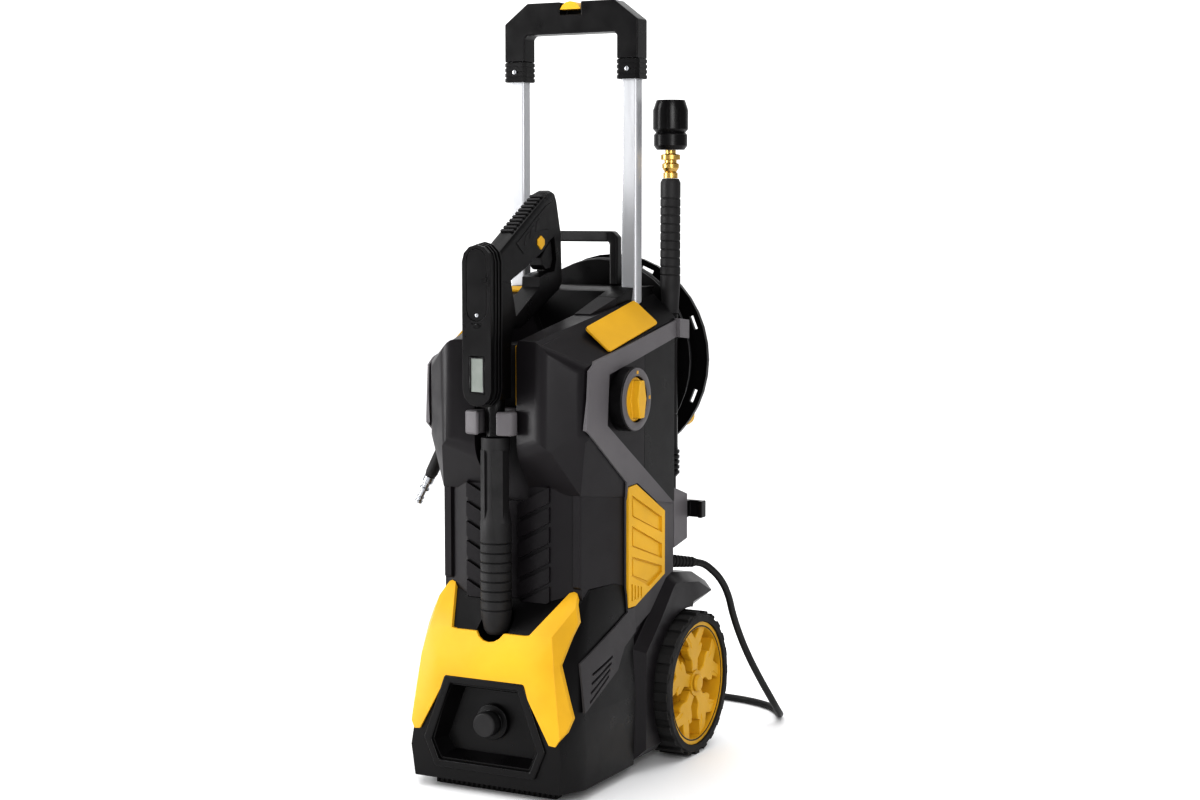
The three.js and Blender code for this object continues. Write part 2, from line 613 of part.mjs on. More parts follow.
function addWheels(group) {
  const axle = cylinder(AXLE_RADIUS, [-137, AXLE_Y, WHEEL_RADIUS], [137, AXLE_Y, WHEEL_RADIUS], 24);
  addMesh(group, 'wheel_axle', axle, STEEL);
  const rim = spokedRim();
  const tyre = treadedTyre();
  const cap = turned([[0, 0], [11, 0], [11, 3], [9, 4.6], [0, 5]], [0, 0, 0], X_AXIS, 32);
  for (const side of [1, -1]) {
    const name = side > 0 ? 'right' : 'left';
    const wheel = new THREE.Group();
    wheel.position.set(side * (WHEEL_OUTER_X - WHEEL_WIDTH), AXLE_Y, WHEEL_RADIUS);
    group.add(wheel);
    const facing = (shape) => (side > 0 ? shape : shape.mirror([1, 0, 0]));
    addMesh(wheel, `tyre_${name}`, facing(tyre), RUBBER);
    const rimMesh = addMesh(wheel, `rim_${name}`, facing(rim), YELLOW);
    rimMesh.position.x = side * 3;
    const capMesh = addMesh(wheel, `hub_cap_${name}`, facing(cap), YELLOW);
    capMesh.position.x = side * (WHEEL_WIDTH - 3 + GAP - 1);
  }
}

// ---------- Telescopic handle ----------
function addHandle(group) {
  const handle = new THREE.Group();
  group.add(handle);
  for (const side of [1, -1]) {
    const name = side > 0 ? 'right' : 'left';
    const tubeShape = prismZ(roundedRectangle(TUBE_WIDTH, TUBE_DEPTH, 3), TUBE_BOTTOM, GRIP_UNDERSIDE - 10);
    const boreShape = prismZ(roundedRectangle(TUBE_WIDTH - 2 * TUBE_WALL, TUBE_DEPTH - 2 * TUBE_WALL, 1.5),
      TUBE_BOTTOM - 5, GRIP_UNDERSIDE);
    const tube = addMesh(handle, `handle_tube_${name}`, cut(tubeShape, boreShape), ALUMINIUM);
    tube.position.set(side * TUBE_X, TUBE_Y, 0);
    const ridges = [0, 1, 2, 3].map((i) => {
      const bottom = COLLAR_BOTTOM + i * COLLAR_RIDGE_PITCH;
      return prismZ(chamferedRectangle(COLLAR_WIDTH, COLLAR_DEPTH, 4), bottom, bottom + COLLAR_RIDGE_HEIGHT);
    });
    const core = prismZ(chamferedRectangle(COLLAR_WIDTH - 2, COLLAR_DEPTH - 2, 3.5), COLLAR_BOTTOM - 0.5,
      COLLAR_TOP - GAP);
    const passage = prismZ(chamferedRectangle(TUBE_WIDTH + 2 * GAP, TUBE_DEPTH + 2 * GAP, 0.8), 800, 900);
    const collar = addMesh(handle, `collar_${name}`, cut(join(core, ...ridges), passage), BLACK);
    collar.position.set(side * TUBE_X, TUBE_Y, 0);
  }
  const outer = outline([[-TUBE_X - 14, COLLAR_TOP], [-TUBE_X - 14, 906], [-60, GRIP_TOP], [60, GRIP_TOP],
    [TUBE_X + 14, 906], [TUBE_X + 14, COLLAR_TOP], [TUBE_X - 14, COLLAR_TOP],
    [TUBE_X - 14, GRIP_UNDERSIDE - 4], [TUBE_X - 18, GRIP_UNDERSIDE], [-TUBE_X + 18, GRIP_UNDERSIDE],
    [-TUBE_X + 14, GRIP_UNDERSIDE - 4], [-TUBE_X + 14, COLLAR_TOP]]);
  const bar = prismY(outer, TUBE_Y - 13, TUBE_Y + 13);
  const sockets = [1, -1].map((side) => box(side * TUBE_X - 11, side * TUBE_X + 11, TUBE_Y - 9, TUBE_Y + 9,
    COLLAR_TOP - 5, GRIP_UNDERSIDE - 9));
  const buttonWell = box(-14.5, 14.5, TUBE_Y - 14, TUBE_Y + 5, GRIP_TOP - 15, GRIP_TOP + 1);
  addMesh(handle, 'handle_grip', cut(bar, ...sockets, buttonWell), BLACK);
  const button = new THREE.Shape();
  button.moveTo(-14, GRIP_TOP - 9);
  button.lineTo(14, GRIP_TOP - 9);
  button.absarc(0, GRIP_TOP - 14.4, 15, 0.37, Math.PI - 0.37, false);
  addMesh(handle, 'release_button', prismY(button, TUBE_Y - 13, TUBE_Y + 4.5), YELLOW);
}

// ---------- Hose reel ----------
function addReel(group) {
  const reel = new THREE.Group();
  reel.position.set(0, 0, REEL_Z);
  group.add(reel);
  const drumProfile = [
    [10.4, REEL_FRONT], [REEL_RADIUS - 6, REEL_FRONT], [REEL_RADIUS - 6, REEL_FRONT + 2.5],
    [DRUM_RADIUS, REEL_FRONT + 2.5], [DRUM_RADIUS, REEL_REAR - 5], [REEL_RADIUS - 4, REEL_REAR - 5],
    [REEL_RADIUS, REEL_REAR - 7], [REEL_RADIUS, REEL_REAR], [DRUM_RADIUS - 3, REEL_REAR],
    [DRUM_RADIUS - 3, REEL_FRONT + 6], [10.4, REEL_FRONT + 6],
  ];
  const drum = turned(drumProfile, [0, 0, 0], Y_AXIS, 40);
  const SLOT_COUNT = 8;
  const slotStep = 360 / SLOT_COUNT;
  const slots = [];
  for (let i = 0; i < SLOT_COUNT; i++) {
    const slot = box(REEL_RADIUS - 13, REEL_RADIUS - 8, REEL_REAR - 12, REEL_REAR + 5, -9, 9);
    slots.push(slot.rotate([0, (i + 0.5) * slotStep, 0]));
  }
  addMesh(reel, 'reel_drum', cut(drum, ...slots), BLACK);
  const winding = turned([[DRUM_RADIUS + GAP, REEL_FRONT + 3], [WINDING_RADIUS, REEL_FRONT + 3],
    [WINDING_RADIUS, REEL_REAR - 5.4], [DRUM_RADIUS + GAP, REEL_REAR - 5.4]],
  [0, 0, 0], Y_AXIS, 40);
  addMesh(reel, 'hose_winding', winding, RUBBER);
  const crank = new THREE.Group();
  crank.rotation.y = -CRANK_ANGLE;
  reel.add(crank);
  const arm = join(
    prismY([[-20, -13], [CRANK_REACH, -11], [CRANK_REACH + 8, 0], [CRANK_REACH, 11], [-20, 13]],
      REEL_REAR + GAP, REEL_REAR + 8),
    cylinder(5, [CRANK_REACH, REEL_REAR + 7, 0], [CRANK_REACH, REEL_REAR + 48, 0], 16),
  );
  addMesh(crank, 'crank_arm', arm, BLACK);
  const knobProfile = [[5.3, REEL_REAR + 10], [11, REEL_REAR + 10], [13, REEL_REAR + 24],
    [13, REEL_REAR + 46], [9, KNOB_END], [5.3, KNOB_END]];
  addMesh(crank, 'crank_knob', turned(knobProfile, [CRANK_REACH, 0, 0], Y_AXIS, 28), YELLOW);
}

// ---------- Spray gun ----------
function capsule(half, bottom, top) {
  const shape = new THREE.Shape();
  shape.moveTo(half, bottom + half);
  shape.lineTo(half, top - half);
  shape.absarc(0, top - half, half, 0, Math.PI, false);
  shape.lineTo(-half, bottom + half);
  shape.absarc(0, bottom + half, half, Math.PI, 2 * Math.PI, false);
  return shape;
}

// The shield-shaped safety button passes sideways through the grip above the trigger.
function lockOutline(grow) {
  const g = grow;
  return [[-79 - g, 638], [-79 - g, 644 + g], [-71, 649 + g], [-63 + g, 644 + g], [-63 + g, 638],
    [-71, 632 - g]];
}

function addGun(group) {
  const gun = new THREE.Group();
  group.add(gun);
  const podBack = POD_FRONT + POD_DEPTH;
  const recess = prismY(capsule(13.5, 553, 636), POD_FRONT - 1, POD_FRONT + 2.2);
  const windowHole = prismY(outline([[-8.8, 472], [8.8, 472], [8.8, 512], [-8.8, 512]]), POD_FRONT - 1,
    POD_FRONT + 3);
  const pod = join(
    prismY(capsule(POD_HALF, POD_BOTTOM, POD_TOP), POD_FRONT, POD_FRONT + 7),
    ...[0, 1, 2].map((i) => prismY(capsule(POD_HALF + 1.5 + i, POD_BOTTOM - 1 - i, POD_TOP + 1 + i),
      POD_FRONT + 8 + i * 5, POD_FRONT + 11 + i * 5)),
    prismY(capsule(POD_HALF - 0.5, POD_BOTTOM + 1, POD_TOP - 1), POD_FRONT + 6, podBack),
  );
  addMesh(gun, 'display_pod', cut(pod, recess, windowHole), BLACK);
  addMesh(gun, 'battery_cover', prismY(capsule(13.5 - GAP, 553 + GAP, 636 - GAP), POD_FRONT + 0.4,
    POD_FRONT + 2), BLACK);
  addMesh(gun, 'display_window', box(-8.4, 8.4, POD_FRONT + 0.8, POD_FRONT + 2.7, 472.4, 511.6), SCREEN);

  const back = podBack + GAP;
  const profile = new THREE.Shape();
  profile.moveTo(back, 462);
  [[back, 626], [-134, 651], [-81, 682], [-52, 699]].forEach(([y, z]) => profile.lineTo(y, z));
  profile.quadraticCurveTo(-34, 708, -28, 690);
  [[-17, 650], [-15, 590], [-24, 582], [-61, 565], [-114, 540], [-130, 541], [-143, 500],
    [-143, 462]].forEach(([y, z]) => profile.lineTo(y, z));
  const fingerSpace = prismX([[-141, 598], [-108, 611], [-80, 624], [-66, 630], [-50, 642], [-38, 648],
    [-33, 620], [-38, 606], [-58, 604], [-73, 600], [-74, 588], [-129, 556]], -20, 20);
  const lockHole = prismX(lockOutline(GAP), -20, 20);
  const settings = {
    depth: 24 - 2 * GRIP_BEVEL, bevelThickness: GRIP_BEVEL, bevelSize: GRIP_BEVEL, bevelOffset: -GRIP_BEVEL,
    bevelSegments: 2, curveSegments: ARC_STEPS,
  };
  const basis = new THREE.Matrix4().makeBasis(Y_AXIS, Z_AXIS, X_AXIS).setPosition(GRIP_BEVEL - 12, 0, 0);
  const bevelled = solid(new THREE.ExtrudeGeometry(profile, settings).applyMatrix4(basis));
  const frame = cut(bevelled, fingerSpace, lockHole);
  const trunk = box(-14, 14, back, -145, 462, 596);
  const neck = cylinder(11, [0, GUN_BARREL_Y, 419], [0, GUN_BARREL_Y, 463], 24);
  addMesh(gun, 'gun_body', join(frame, trunk, neck), BLACK);

  const barrelProfile = [[0, 187], [11, 187], [15, 193], [18, 208], [18.5, 214]];
  const GROOVE_COUNT = 8;
  const GROOVE_PITCH = 11.2;
  for (let i = 0; i < GROOVE_COUNT; i++) {
    const z = 214 + i * GROOVE_PITCH;
    barrelProfile.push([18.5, z + 1], [17, z + 2.2], [18.5, z + 3.4]);
  }
  barrelProfile.push([18.5, 318], [15.5, 335], [15.5, 400], [17, 404], [17, 418 - GAP], [0, 418 - GAP]);
  const barrel = turned(barrelProfile, [0, GUN_BARREL_Y, 0], Z_AXIS, 16);
  const flutes = [1, -1].map((side) => hull([
    ...[316, 403].flatMap((z) => [
      [side * 5, GUN_BARREL_Y - 17, z], [side * 15, GUN_BARREL_Y - 9, z],
      [side * 5, GUN_BARREL_Y + 5, z], [side * 15, GUN_BARREL_Y + 5, z],
    ]),
  ]));
  addMesh(gun, 'gun_barrel', join(barrel, ...flutes), BLACK);

  const trigger = prismX([[-62, 613], [-64, 623], [-54, 634], [-42, 643], [-39.5, 640], [-36, 620],
    [-42, 609], [-54, 608]], -9, 9);
  addMesh(gun, 'trigger', trigger, BLACK);
  addMesh(gun, 'safety_lock', prismX(lockOutline(0), -10, 13.5), YELLOW);
}

// ---------- Lance ----------
function addLance(group) {
  const lance = new THREE.Group();
  lance.position.set(LANCE_X, LANCE_Y, 0);
  group.add(lance);
  const headProfile = [[0, 752], [17, 752], [20.5, 757], [20.5, 770], [18, 773], [21.5, 777], [21.5, 800],
    [17.5, 812], [9, 812], [8, 806], [0, 806]];
  const head = turned(headProfile, [0, 0, 0], Z_AXIS, 36);
  const LOBE_COUNT = 10;
  const lobes = [];
  for (let i = 0; i < LOBE_COUNT; i++) {
    lobes.push(cylinder(2.6, [23, 0, 740], [23, 0, 805], 6).rotate([0, 0, (i * 360) / LOBE_COUNT]));
  }
  addMesh(lance, 'nozzle_head', cut(head, ...lobes), BLACK);
  const brass = turned([[0, 717.4], [9, 717.4], [9, 724], [7, 724.6], [10.5, 730], [10.5, 735], [7.6, 736],
    [7.6, 739.5], [12, 740], [12, 746], [6.5, 747], [6.5, 751.6], [0, 751.6]], [0, 0, 0], Z_AXIS, 20);
  addMesh(lance, 'quick_coupling', brass, BRASS);
  const gripProfile = [[0, 552], [10.3, 552], [12.4, 590]];
  const GRIP_GROOVE_PITCH = 10.4;
  for (let i = 0; i < 10; i++) {
    const z = 598 + i * GRIP_GROOVE_PITCH;
    gripProfile.push([12.4, z], [11.4, z + 1.2], [12.4, z + 2.4]);
  }
  gripProfile.push([12.4, 712], [10, 717], [0, 717]);
  addMesh(lance, 'lance_grip', turned(gripProfile, [0, 0, 0], Z_AXIS, 16), BLACK);
  const tubeProfile = [[0, LANCE_TIP_Z], [7, LANCE_TIP_Z], [8, 304], [8, 349], [10.5, 352]];
  const BELLOWS_PITCH = 6.4;
  for (let i = 0; i < 5; i++) {
    const z = 354 + i * BELLOWS_PITCH;
    tubeProfile.push([12.4, z], [12.4, z + 3.2], [10.5, z + 4.2]);
  }
  tubeProfile.push([10, 388], [10, 426], [9.4, 427], [9.4, 428], [10, 429], [10, 551.6], [0, 551.6]);
  addMesh(lance, 'lance_tube', turned(tubeProfile, [0, 0, 0], Z_AXIS, 16), BLACK);
}

// ---------- Cords ----------
// A curve through the route's points, and a round tube along it.
function tubeAlong(points, radius, sides, steps) {
  const curve = new THREE.CatmullRomCurve3(points.map((p) => new THREE.Vector3(...p)), false, 'centripetal');
  const section = new THREE.Shape();
  for (let i = 0; i < sides; i++) {
    const angle = (i / sides) * 2 * Math.PI;
    const corner = [radius * Math.cos(angle), radius * Math.sin(angle)];
    if (i === 0) section.moveTo(...corner);
    else section.lineTo(...corner);
  }
  return solid(new THREE.ExtrudeGeometry(section, { steps, extrudePath: curve, bevelEnabled: false }));
}

const LEAD_ROUTE = [
  [123.7, 125.6, 237.7], [130, 134.5, 234.5], [138, 145, 225], [145, 156, 211], [149, 168, 191],
  [150.5, 180, 165], [153, 194, 138], [158, 212, 106], [165, 234, 72], [170, 256, 44], [170, 280, 22],
  [165, 303, 9], [154, 325, 5], [138, 344, 5], [118, 357, 5], [94, 366, 5], [64, 371, 5], [32, 372, 5],
  [2, 371, 5], [-22, 369.8, 5], [-45, 368.3, 5],
];

const HOSE_ROUTE = [
  [-86, 122, 579.8], [-109.5, 122, 556], [-136, 122, 525], [-162, 122, 492], [-188, 122, 456],
  [-214, 121, 416], [-238, 120, 376], [-256, 119, 344], [-266, 118, 324],
];

function addCords(group) {
  addMesh(group, 'power_lead', tubeAlong(LEAD_ROUTE, LEAD_RADIUS, 8, 46), RUBBER);
  const coil = turned([[COIL_INNER, 0.5], [COIL_OUTER, 0.5], [COIL_OUTER, COIL_HEIGHT],
    [COIL_INNER, COIL_HEIGHT]], [COIL_CENTRE.x, COIL_CENTRE.y, 0], Z_AXIS, 40);
  addMesh(group, 'lead_coil', coil, RUBBER);
  const plugZ = COIL_HEIGHT + PLUG_RADIUS + GAP;
  const plug = turned([[0, 0], [6, 0], [9, 20], [PLUG_RADIUS, 26], [PLUG_RADIUS, 48], [0, 48]],
    [COIL_CENTRE.x + 20, COIL_CENTRE.y, plugZ], X_AXIS.clone().negate(), 24);
  const pins = [9.5, -9.5].map((offset) => cylinder(2.4,
    [COIL_CENTRE.x - 27, COIL_CENTRE.y + offset, plugZ],
    [COIL_CENTRE.x - 47, COIL_CENTRE.y + offset, plugZ], 12));
  addMesh(group, 'mains_plug', join(plug, ...pins), RUBBER);
  addMesh(group, 'hose_tail', tubeAlong(HOSE_ROUTE, HOSE_RADIUS, 8, 20), RUBBER);
  const [before, hoseEnd] = HOSE_ROUTE.slice(-2).map((point) => new THREE.Vector3(...point));
  const direction = hoseEnd.clone().sub(before).normalize();
  const start = hoseEnd.clone().addScaledVector(direction, GAP);
  const plugProfile = [[0, 0], [7.5, 0], [7.5, 9], [5, 10], [5, 16], [7, 17], [7, 20], [4, 21], [4, 30],
    [5.4, 31], [5.4, 33], [4.4, 34], [4.4, 36], [5.4, 37], [5.4, 40], [0, 41]];
  addMesh(group, 'hose_plug', turned(plugProfile, start.toArray(), direction, 14), STEEL);
}

// ---------- Assembly ----------
const washer = new THREE.Group();
addHousing(washer);
addBase(washer);
addFrontTrim(washer);
addRibbons(washer);
addVents(washer);
addLabels(washer);
addGunClip(washer);
addCarryHandle(washer);
addArches(washer);
addLanceSupports(washer);
addSwitch(washer);
addDrive(washer);
addInlet(washer);
addReelBracket(washer);
addCableHook(washer);
addStrainRelief(washer);
addWheels(washer);
addHandle(washer);
addReel(washer);
addGun(washer);
addLance(washer);
addCords(washer);

export default washer;
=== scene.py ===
"""Looks of the pressure washer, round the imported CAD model. Lengths are metres, or millimetres where said."""
import math

import bpy
import bmesh
from mathutils import Matrix, Vector


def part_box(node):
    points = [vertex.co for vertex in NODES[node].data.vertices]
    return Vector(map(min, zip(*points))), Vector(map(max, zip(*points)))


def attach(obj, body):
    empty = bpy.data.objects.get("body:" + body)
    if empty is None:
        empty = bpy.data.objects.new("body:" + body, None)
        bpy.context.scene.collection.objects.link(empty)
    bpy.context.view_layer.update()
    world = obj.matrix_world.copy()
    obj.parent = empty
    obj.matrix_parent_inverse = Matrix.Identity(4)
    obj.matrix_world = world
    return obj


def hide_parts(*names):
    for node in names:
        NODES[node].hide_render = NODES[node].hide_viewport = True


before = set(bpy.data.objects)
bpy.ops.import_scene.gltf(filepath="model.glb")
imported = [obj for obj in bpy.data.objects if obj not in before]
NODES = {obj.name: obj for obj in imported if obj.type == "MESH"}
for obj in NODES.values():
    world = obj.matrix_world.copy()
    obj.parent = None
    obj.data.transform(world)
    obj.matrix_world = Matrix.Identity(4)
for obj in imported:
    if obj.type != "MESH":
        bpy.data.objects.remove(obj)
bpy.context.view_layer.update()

MM = 0.001
SCENE = bpy.context.scene
SCENE.view_settings.view_transform = "Standard"
SCENE.view_settings.look = "High Contrast"


# ---------- Camera ----------
CAMERA_PLACE = (1.209, -2.183, 0.682)
CAMERA_AZIMUTH = 27.89
CAMERA_DIP = 5.37
LENS_MM = 61.5


def add_camera():
    data = bpy.data.cameras.new("camera")
    data.lens = LENS_MM
    data.sensor_width = 36
    camera = bpy.data.objects.new("camera", data)
    SCENE.collection.objects.link(camera)
    camera.location = CAMERA_PLACE
    camera.rotation_euler = (math.radians(90 - CAMERA_DIP), 0, math.radians(CAMERA_AZIMUTH))
    SCENE.camera = camera


add_camera()


# ---------- Node materials ----------
class Surface:
    """A material with a Principled shader and short calls that wire the nodes a finish needs."""

    def __init__(self, name, color, roughness, metallic=0.0, specular=0.5):
        self.material = bpy.data.materials.new(name)
        self.material.use_nodes = True
        self.tree = self.material.node_tree
        self.shader = self.tree.nodes["Principled BSDF"]
        self.shader.inputs["Base Color"].default_value = (*color, 1)
        self.shader.inputs["Roughness"].default_value = roughness
        self.shader.inputs["Metallic"].default_value = metallic
        self.shader.inputs["Specular IOR Level"].default_value = specular
        self.coords = self.tree.nodes.new("ShaderNodeTexCoord").outputs["Object"]
        self.height = None

    def link(self, output, socket):
        self.tree.links.new(output, socket)

    def noise(self, scale, detail=3.0, stretch=(1, 1, 1)):
        mapping = self.tree.nodes.new("ShaderNodeMapping")
        mapping.inputs["Scale"].default_value = stretch
        self.link(self.coords, mapping.inputs["Vector"])
        texture = self.tree.nodes.new("ShaderNodeTexNoise")
        texture.inputs["Scale"].default_value = scale
        texture.inputs["Detail"].default_value = detail
        self.link(mapping.outputs["Vector"], texture.inputs["Vector"])
        return texture.outputs["Fac"]

    def wave(self, scale, direction, distortion=0.0):
        texture = self.tree.nodes.new("ShaderNodeTexWave")
        texture.bands_direction = direction
        texture.inputs["Scale"].default_value = scale
        texture.inputs["Distortion"].default_value = distortion
        self.link(self.coords, texture.inputs["Vector"])
        return texture.outputs["Fac"]

    def coordinate(self, axis):
        split = self.tree.nodes.new("ShaderNodeSeparateXYZ")
        self.link(self.coords, split.inputs["Vector"])
        return split.outputs[axis]

    def spread(self, value, low, high, at=(0.3, 0.7)):
        """The value mapped from the range at onto low to high."""
        node = self.tree.nodes.new("ShaderNodeMapRange")
        node.inputs["From Min"].default_value = at[0]
        node.inputs["From Max"].default_value = at[1]
        node.inputs["To Min"].default_value = low
        node.inputs["To Max"].default_value = high
        self.link(value, node.inputs["Value"])
        return node.outputs["Result"]

    def color_between(self, value, first, second):
        node = self.tree.nodes.new("ShaderNodeMix")
        node.data_type = "RGBA"
        node.inputs["A"].default_value = (*first, 1)
        node.inputs["B"].default_value = (*second, 1)
        self.link(value, node.inputs["Factor"])
        self.link(node.outputs["Result"], self.shader.inputs["Base Color"])

    def roughness_from(self, value, low, high):
        """Roughness that follows the value between low and high."""
        self.link(self.spread(value, low, high), self.shader.inputs["Roughness"])

    def bump(self, value, strength, distance):
        node = self.tree.nodes.new("ShaderNodeBump")
        node.inputs["Strength"].default_value = strength
        node.inputs["Distance"].default_value = distance
        self.link(value, node.inputs["Height"])
        if self.height is not None:
            self.link(self.height, node.inputs["Normal"])
        self.height = node.outputs["Normal"]
        self.link(self.height, self.shader.inputs["Normal"])


PLASTIC_SPECULAR = 0.26
FINE_GRAIN = 0.10


def scaled(color, factor):
    """The color made darker or lighter."""
    return tuple(c * factor for c in color)


def plastic_skin(surface, roughness, grain):
    """A fine grain and slightly uneven gloss, as moulded plastic has."""
    surface.roughness_from(surface.noise(38, 5), roughness - 0.05, roughness + 0.06)
    surface.bump(surface.noise(2600, 2), grain, 0.0004)
    surface.bump(surface.noise(30, 3), 0.04, 0.002)


def moulded(name, color, roughness, grain=FINE_GRAIN):
    """Injection-moulded plastic with faint flow marks."""
    surface = Surface(name, color, roughness, specular=PLASTIC_SPECULAR)
    flow = surface.spread(surface.noise(9, 4), 0, 1)
    surface.color_between(flow, scaled(color, 0.86), scaled(color, 1.12))
    plastic_skin(surface, roughness, grain)
    return surface.material


def with_painted_shade_below(name, lower, upper, heights, roughness):
    """Moulded plastic that goes from one color to another between two heights; the side bands use it to paint
    shade on their lower part.
    """
    surface = Surface(name, upper, roughness, specular=PLASTIC_SPECULAR)
    share = surface.spread(surface.coordinate("Z"), 0, 1, at=heights)
    surface.color_between(share, lower, upper)
    plastic_skin(surface, roughness, FINE_GRAIN)
    return surface.material


def rubbery(name, color, roughness):
    """Matt rubber with a little dust in patches."""
    surface = Surface(name, color, roughness, specular=0.35)
    dust = surface.spread(surface.noise(26, 6), 0, 1)
    surface.color_between(dust, color, scaled(color, 1.6))
    surface.roughness_from(surface.noise(60, 4), roughness - 0.06, roughness + 0.08)
    surface.bump(surface.noise(1500, 3), 0.2, 0.0005)
    return surface.material


def drawn_metal(name, color, roughness, stretch, metallic=1.0):
    """Metal with fine lines along the direction in which stretch is small."""
    surface = Surface(name, color, roughness, metallic=metallic)
    lines = surface.noise(900, 2, stretch)
    surface.roughness_from(lines, roughness - 0.07, roughness + 0.1)
    surface.bump(lines, 0.08, 0.0003)
    surface.color_between(surface.spread(surface.noise(14, 3), 0, 1), scaled(color, 0.93), color)
    return surface.material


def turned_metal(name, color, roughness):
    """Metal turned on a lathe, with fine rings across its axis."""
    surface = Surface(name, color, roughness, metallic=1.0)
    surface.roughness_from(surface.noise(160, 4), roughness - 0.05, roughness + 0.12)
    surface.bump(surface.wave(480, "Z", 0.4), 0.06, 0.0003)
    surface.color_between(surface.spread(surface.noise(60, 4), 0, 1), scaled(color, 0.82), color)
    return surface.material


def display_glass(name, dark, light, roughness):
    """A display that is switched off, under a glossy cover."""
    surface = Surface(name, light, roughness)
    surface.color_between(surface.spread(surface.noise(50, 2), 0, 1), dark, light)
    surface.bump(surface.wave(900, "Z"), 0.02, 0.0002)
    surface.shader.inputs["Coat Weight"].default_value = 0.6
    surface.shader.inputs["Coat Roughness"].default_value = 0.04
    return surface.material


BLACK = (0.0045, 0.0041, 0.0045)
CHARCOAL = (0.012, 0.0105, 0.012)
GREY = (0.112, 0.106, 0.111)
YELLOW = (0.53, 0.31, 0.024)
AMBER = (0.50, 0.275, 0.014)
# The side bands are painted darker below these heights: painted shade, not a color of the plastic.
BAND_PAINTED_SHADE = (0.22, 0.40)

MATERIALS = {
    "black": moulded("black_plastic", BLACK, 0.31),
    "charcoal": moulded("charcoal_plastic", CHARCOAL, 0.34),
    "grey": moulded("grey_plastic", GREY, 0.46),
    # The band's lower part is a darker copy of GREY, which is painted shade.
    "band": with_painted_shade_below("band_plastic_painted_shade", scaled(GREY, 0.42), GREY, BAND_PAINTED_SHADE, 0.46),
    "yellow": moulded("yellow_plastic", YELLOW, 0.38, 0.06),
    "amber": moulded("amber_plastic", AMBER, 0.34, 0.05),
    "gloss": moulded("gloss_black", BLACK, 0.22, 0.03),
    "soft": rubbery("soft_grip", (0.010, 0.0095, 0.010), 0.58),
    "tyre": rubbery("tyre_rubber", (0.013, 0.0125, 0.0125), 0.68),
    "lead": rubbery("lead_sheath", (0.010, 0.010, 0.010), 0.46),
    "hose": rubbery("hose_sheath", (0.012, 0.012, 0.013), 0.40),
    "aluminium": drawn_metal("anodised_tube", (0.44, 0.445, 0.46), 0.40, (1, 1, 0.02), 0.6),
    "steel": turned_metal("turned_steel", (0.40, 0.41, 0.43), 0.26),
    "cast": drawn_metal("cast_housing", (0.42, 0.43, 0.45), 0.5, (1, 1, 1)),
    "brass": turned_metal("turned_brass", (0.56, 0.38, 0.13), 0.28),
    "display": display_glass("display_cover", (0.155, 0.17, 0.155), (0.195, 0.21, 0.195), 0.12),
}


# ---------- Floor and lights ----------
# The bright wall's direction, where it fades out on its sides, and how bright the rest of the room is.
BRIGHT_WALL = (-0.468, 0.884, 0)
WALL_FADE = (0.35, 0.85)
ROOM_LIGHT = 0.32
AIM = (0, 0, 0.45)


def add_floor():
    surface = Surface("studio_floor", (0.86, 0.86, 0.865), 0.7)
    surface.roughness_from(surface.noise(3, 3), 0.6, 0.8)
    bpy.ops.mesh.primitive_plane_add(size=40)
    floor = bpy.context.object
    floor.name = "floor"
    floor.data.materials.append(surface.material)


def studio_world():
    """A soft grey room with one bright wall behind the object, in the world's own directions."""
    world = bpy.data.worlds.new("studio")
    world.use_nodes = True
    tree = world.node_tree
    direction = tree.nodes.new("ShaderNodeTexCoord").outputs["Generated"]
    facing = tree.nodes.new("ShaderNodeVectorMath")
    facing.operation = "DOT_PRODUCT"
    facing.inputs[1].default_value = BRIGHT_WALL
    ramp = tree.nodes.new("ShaderNodeMapRange")
    ramp.interpolation_type = "SMOOTHSTEP"
    ramp.inputs["From Min"].default_value = WALL_FADE[0]
    ramp.inputs["From Max"].default_value = WALL_FADE[1]
    ramp.inputs["To Min"].default_value = ROOM_LIGHT
    ramp.inputs["To Max"].default_value = 1.0
    tree.links.new(direction, facing.inputs[0])
    tree.links.new(facing.outputs["Value"], ramp.inputs["Value"])
    tree.links.new(ramp.outputs["Result"], tree.nodes["Background"].inputs["Strength"])
    tree.nodes["Background"].inputs["Color"].default_value = (1, 1, 1, 1)
    return world


def add_light(name, place, size, power):
    """A soft rectangular light that faces the middle of the object."""
    data = bpy.data.lights.new(name, "AREA")
    data.shape = "RECTANGLE"
    data.size, data.size_y = size
    data.energy = power
    light = bpy.data.objects.new(name, data)
    SCENE.collection.objects.link(light)
    light.location = place
    light.rotation_euler = (Vector(AIM) - Vector(place)).to_track_quat("-Z", "Y").to_euler()


def add_overhead(strength, spread_degrees):
    """An even, very soft light from straight above, which also lights the floor far away."""
    data = bpy.data.lights.new("overhead", "SUN")
    data.energy = strength
    data.angle = math.radians(spread_degrees)
    light = bpy.data.objects.new("overhead", data)
    SCENE.collection.objects.link(light)


add_floor()
SCENE.world = studio_world()
add_light("key", (-2.6, -1.9, 1.3), (0.9, 2.4), 88)
add_light("right_fill", (2.3, -2.6, 1.6), (1.0, 2.2), 62)
add_overhead(1.5, 70)


# ---------- Shape helpers ----------
WELD_DISTANCE = 2e-5
FLAT_ANGLE = math.radians(0.6)
EDGE_ANGLE = math.radians(28)
MIRROR = Matrix.Diagonal((-1, 1, 1, 1))
SIDES = ((1, "right"), (-1, "left"))


def link_piece(name, data):
    piece = bpy.data.objects.new(name, data)
    SCENE.collection.objects.link(piece)
    return piece


def dress(piece, material, body, slot, *replaced):
    """Gives a new piece its finish, its body and the CAD nodes that it stands for."""
    piece.data.materials.clear()
    piece.data.materials.append(MATERIALS[material])
    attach(piece, body)
    if replaced:
        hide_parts(*replaced)
    return piece


